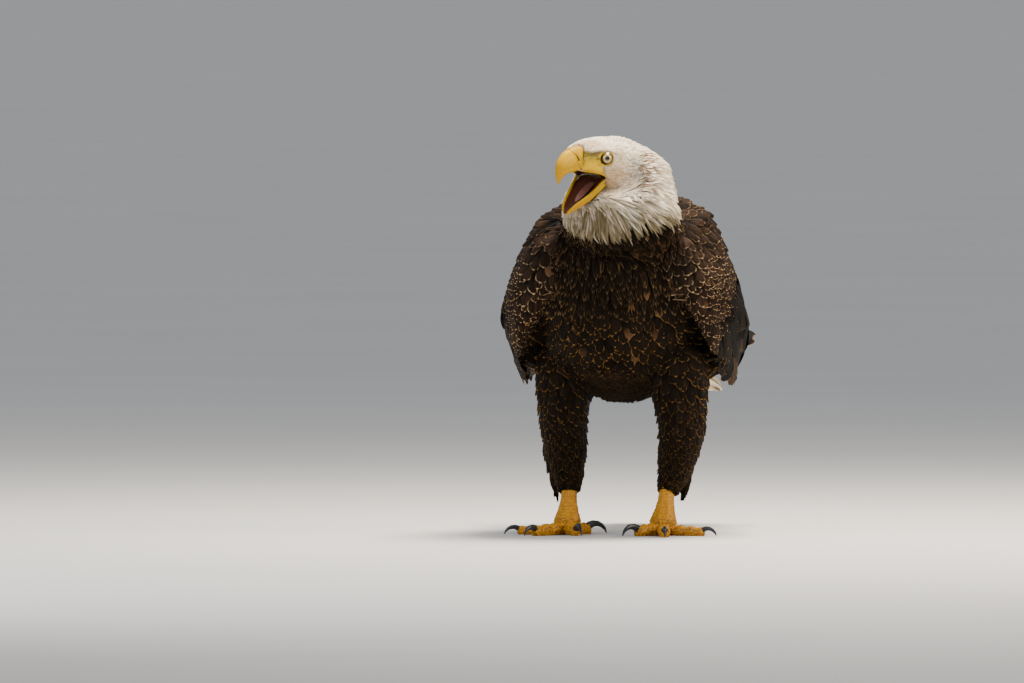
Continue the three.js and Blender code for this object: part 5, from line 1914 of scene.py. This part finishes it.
def foot(word):
    """The foot of one side, with plates along each toe's top and small scales elsewhere."""
    parts = [f"shank_{word}"] + [f"toe_{word}_{digit}" for digit in DIGITS]
    piece = remeshed(f"foot_{word}", merged(parts, 0.35 * MM), FOOT_VOXEL)
    relaxed(piece.data, 8, np.ones(len(piece.data.vertices)))
    spots = places(piece.data)
    outward = normals(piece.data)
    hub = np.array(middle(f"shank_{word}"))
    hub[2] = 0
    # each vertex belongs to the toe whose line it is nearest to, and reach is its place along that toe
    best = np.full(len(spots), 9.0)
    reach = np.zeros(len(spots))
    for digit in DIGITS:
        tip = np.array(middle(f"claw_{word}_{digit}")) - hub
        way = tip[:2] / np.linalg.norm(tip[:2])
        ahead = (spots[:, :2] - hub[:2]) @ way
        aside = np.abs((spots[:, :2] - hub[:2]) @ np.array([-way[1], way[0]]))
        closer = (aside / MM < best * 10) & (ahead > 0)
        score = np.where(closer, aside / MM / 10, best)
        reach = np.where(score < best, ahead, reach)
        best = np.minimum(best, score)
    up_leg = ramp(spots[:, 2] / MM, 24, 32)
    run = np.where(up_leg > 0.5, spots[:, 2], reach) / MM
    phase = run / PLATE_PITCH % 1
    groove = np.exp(-((np.minimum(phase, 1 - phase) / 0.11) ** 2))
    on_top = ramp(outward[:, 2] - 0.35, 0, 0.3) * (1 - up_leg)
    on_front = ramp(-outward[:, 1] - 0.2, 0, 0.4) * up_leg
    plates = np.maximum(0.8 * on_top, 0.45 * on_front)
    cells = np.array([noise.voronoi(Vector(p / (SCALE_SIZE * MM)))[0][:2] for p in spots])
    seam = np.clip(1 - (cells[:, 1] - cells[:, 0]) / 0.28, 0, 1)
    gap = np.maximum(plates * groove, (1 - plates) * seam)
    clear_of_floor = ramp(spots[:, 2] / MM - 0.4, 0, 1.5)
    spots += outward * ((0.45 - 0.95 * gap) * MM * clear_of_floor)[:, None]
    spots[:, 2] = np.maximum(spots[:, 2], 0)
    set_places(piece.data, spots)
    store(piece.data, "gap", gap)
    store(piece.data, "high", np.clip(cells[:, 0], 0, 1))
    return piece


feet = [foot("left"), foot("right")]
print("feet:", [len(f.data.polygons) for f in feet], "faces")

# %% Claws
claws = []
for word in ("left", "right"):
    for digit in DIGITS:
        node = f"claw_{word}_{digit}"
        claw = remeshed(f"talon_{word}_{digit}", merged([node], 0.2 * MM), 0.6 * MM)
        relaxed(claw.data, 7, np.ones(len(claw.data.vertices)))
        low = places(claw.data)
        low[:, 2] = np.maximum(low[:, 2], 0)
        set_places(claw.data, low)
        claws.append(claw)
print("claws:", [len(claw.data.polygons) for claw in claws], "faces")

# %% [markdown]
# The foot's yellow is a carotene in the skin, deepest in the plates, and the seams between scales hold
# dirt. The claws are slate-black horn, polished by use.

# %% Foot and claw materials
def scale_material():
    # Scaly skin: golden yellow plates, dark dirty seams, a low waxy shine.
    material, tree, _, cloud = clouded_material("foot_scale_skin", 120.0)
    marked = {name: add(tree, READ, {"attribute_name": name}).outputs["Fac"] for name in ("high", "gap")}
    body = add(tree, MIX, BLEND, {"Factor": cloud, "A": colour("#c98f10"), "B": colour("#a86c08")})
    crown = add(tree, EASE, SMOOTH, {0: marked["high"], 1: 0.35, 2: 0.05})
    seam = add(tree, MATH, TIMES, {0: marked["gap"], 1: 0.95})
    for share, code in ((crown, "#d7a42a"), (seam, "#3a1f08")):
        body = add(tree, MIX, BLEND, {"Factor": share, "A": body, "B": colour(code)})
    bump = add(tree, "ShaderNodeBump", None, {"Height": cloud, "Distance": 0.3 * MM, "Strength": 0.5})
    finish_material(tree, Base_Color=body, Roughness=0.5, Normal=bump, Specular_IOR_Level=0.2)
    return material


def claw_material():
    # Slate-black horn with fine lengthwise streaks and a polished shine.
    material, tree, _, cloud = clouded_material("claw_horn", 220.0)
    body = add(tree, MIX, BLEND, {"Factor": cloud, "A": colour("#0f1012"), "B": colour("#23252a")})
    bump = add(tree, "ShaderNodeBump", None, {"Height": cloud, "Distance": 0.12 * MM, "Strength": 0.4})
    finish_material(tree, Base_Color=body, Roughness=0.36, Normal=bump, Specular_IOR_Level=0.3)
    return material


scale_finish = scale_material()
claw_finish = claw_material()
for foot_piece in feet:
    foot_piece.data.materials.append(scale_finish)
for claw in claws:
    claw.data.materials.append(claw_finish)

# %% [markdown]
# ## The skin's own colours
# Between feathers, and round the eye where there are none, the skin itself shows. It carries the same
# markings as the coat: greyish cream under white plumage, near black under brown, yellow at the face. The
# share of white is blurred over a few neighbours and then sharpened, so its border follows no mesh edges.

# %% Colour the skin
def skin_material():
    # Bare bird skin: a soft, slightly waxy surface with fine pebbling; inside the mouth it is painted near
    # black as shade.
    material, tree, place, cloud = clouded_material("bird_skin", 260.0)
    names = ("white", "olive", "yellow", "mouth", "line")
    marked = {name: add(tree, READ, {"attribute_name": name}).outputs["Fac"] for name in names}
    pebble = add(tree, "ShaderNodeTexVoronoi", None, {"Vector": place, "Scale": 900.0})
    white = marked["white"]
    base = add(tree, MIX, BLEND, {"Factor": white, "A": colour("#0b0704"), "B": colour("#a3957e")})
    yellow = add(tree, MIX, BLEND, {"Factor": cloud, "A": colour("#b08a10"), "B": colour("#d2aa14")})
    greyed = add(tree, EASE, SMOOTH, {0: cloud, 1: 0.35, 2: 0.65})
    olive = add(tree, MIX, BLEND, {"Factor": greyed, "A": colour("#57501e"), "B": colour("#857b3a")})
    face = add(tree, MIX, BLEND, {"Factor": marked["olive"], "A": yellow, "B": olive})
    either = add(tree, MATH, {"operation": "MAXIMUM"}, {0: marked["yellow"], 1: marked["olive"]})
    body = add(tree, MIX, BLEND, {"Factor": either, "A": base, "B": face})
    # The dark line holds the lid margins and the painted shadow under the brow; the mouth's lining is painted
    # near black as shade.
    for name, code in (("line", "#120c08"), ("mouth", "#260f0c")):
        body = add(tree, MIX, BLEND, {"Factor": marked[name], "A": body, "B": colour(code)})
    height = pebble.outputs["Distance"]
    bump = add(tree, "ShaderNodeBump", None, {"Height": height, "Distance": 0.4 * MM, "Strength": 0.5})
    rough = add(tree, MATH, TIMES_PLUS, {0: marked["mouth"], 1: -0.25, 2: 0.6})
    finish_material(tree, Base_Color=body, Roughness=rough, Normal=bump, Specular_IOR_Level=0.08)
    return material


skin.data.materials.append(skin_material())
BLUR_ROUNDS = 6
in_white = np.isin(skin_part, ["head", "chin", "neck", "tail"])
in_white &= above_collar(in_body(places(skin.data)), 12)
whiteness = np.repeat(in_white[:, None], 3, 1).astype(float)
a, b = edge_ends(skin.data)
for _ in range(BLUR_ROUNDS):
    whiteness += 0.7 * pull_of(whiteness, a, b)
store(skin.data, "white", np.clip((whiteness[:, 0] - 0.6) * 4, 0, 1))
for key in ("yellow", "olive", "line", "mouth"):
    store(skin.data, key, bare_shares[key])
print("white skin:", int(in_white.sum()), "of", len(in_white), "vertices")

# %% [markdown]
# ## What replaces which solid
# The one skin stands for every flesh solid at once, which is why no seam can show between them. The coat
# and the quills only add to it. Eyes, bill, tongue and claws stay pieces of their own, as on the bird.

# %% Pair each piece with its solids and its group of materials
dressed = [(skin, FLESH, "brown_feathers")]
dressed += [(coat, [], "brown_feathers") for coat in coats]
dressed += [(piece, [], "flight_feathers") for piece in wing_quills]
dressed += [(tail_quills, [], "white_feathers")]
dressed += [(horn, ["bill_upper"], "bill_horn"), (lower_horn, ["bill_lower"], "bill_horn")]
dressed += [(cere, ["cere"], "cere")] + [(lip, [], "cere") for lip in lips]
dressed += [(tongue, ["tongue"], "mouth"), (palate, [], "mouth")]
dressed += [(eye, [name], "eye") for eye, name in zip(eyes, sockets)]
for word, scaled in zip(("left", "right"), feet):
    toes = [f"toe_{word}_{digit}" for digit in DIGITS]
    dressed.append((scaled, [f"shank_{word}", *toes], "foot_scales"))
dressed += [(claw, [claw.name.replace("talon", "claw")], "claw") for claw in claws]
for group in (round_vanes, hackle_vanes, fine_vanes, down_vanes):  # they have done their work
    for shape in list(group.objects):
        bpy.data.objects.remove(shape)
replaced = [name for _, names, _ in dressed for name in names]
print("solids replaced:", len(replaced), "of", len(solids))

# %% Rides and replacements
for piece, replaced, finish in dressed:
    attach(piece, "root")
    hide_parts(*replaced)
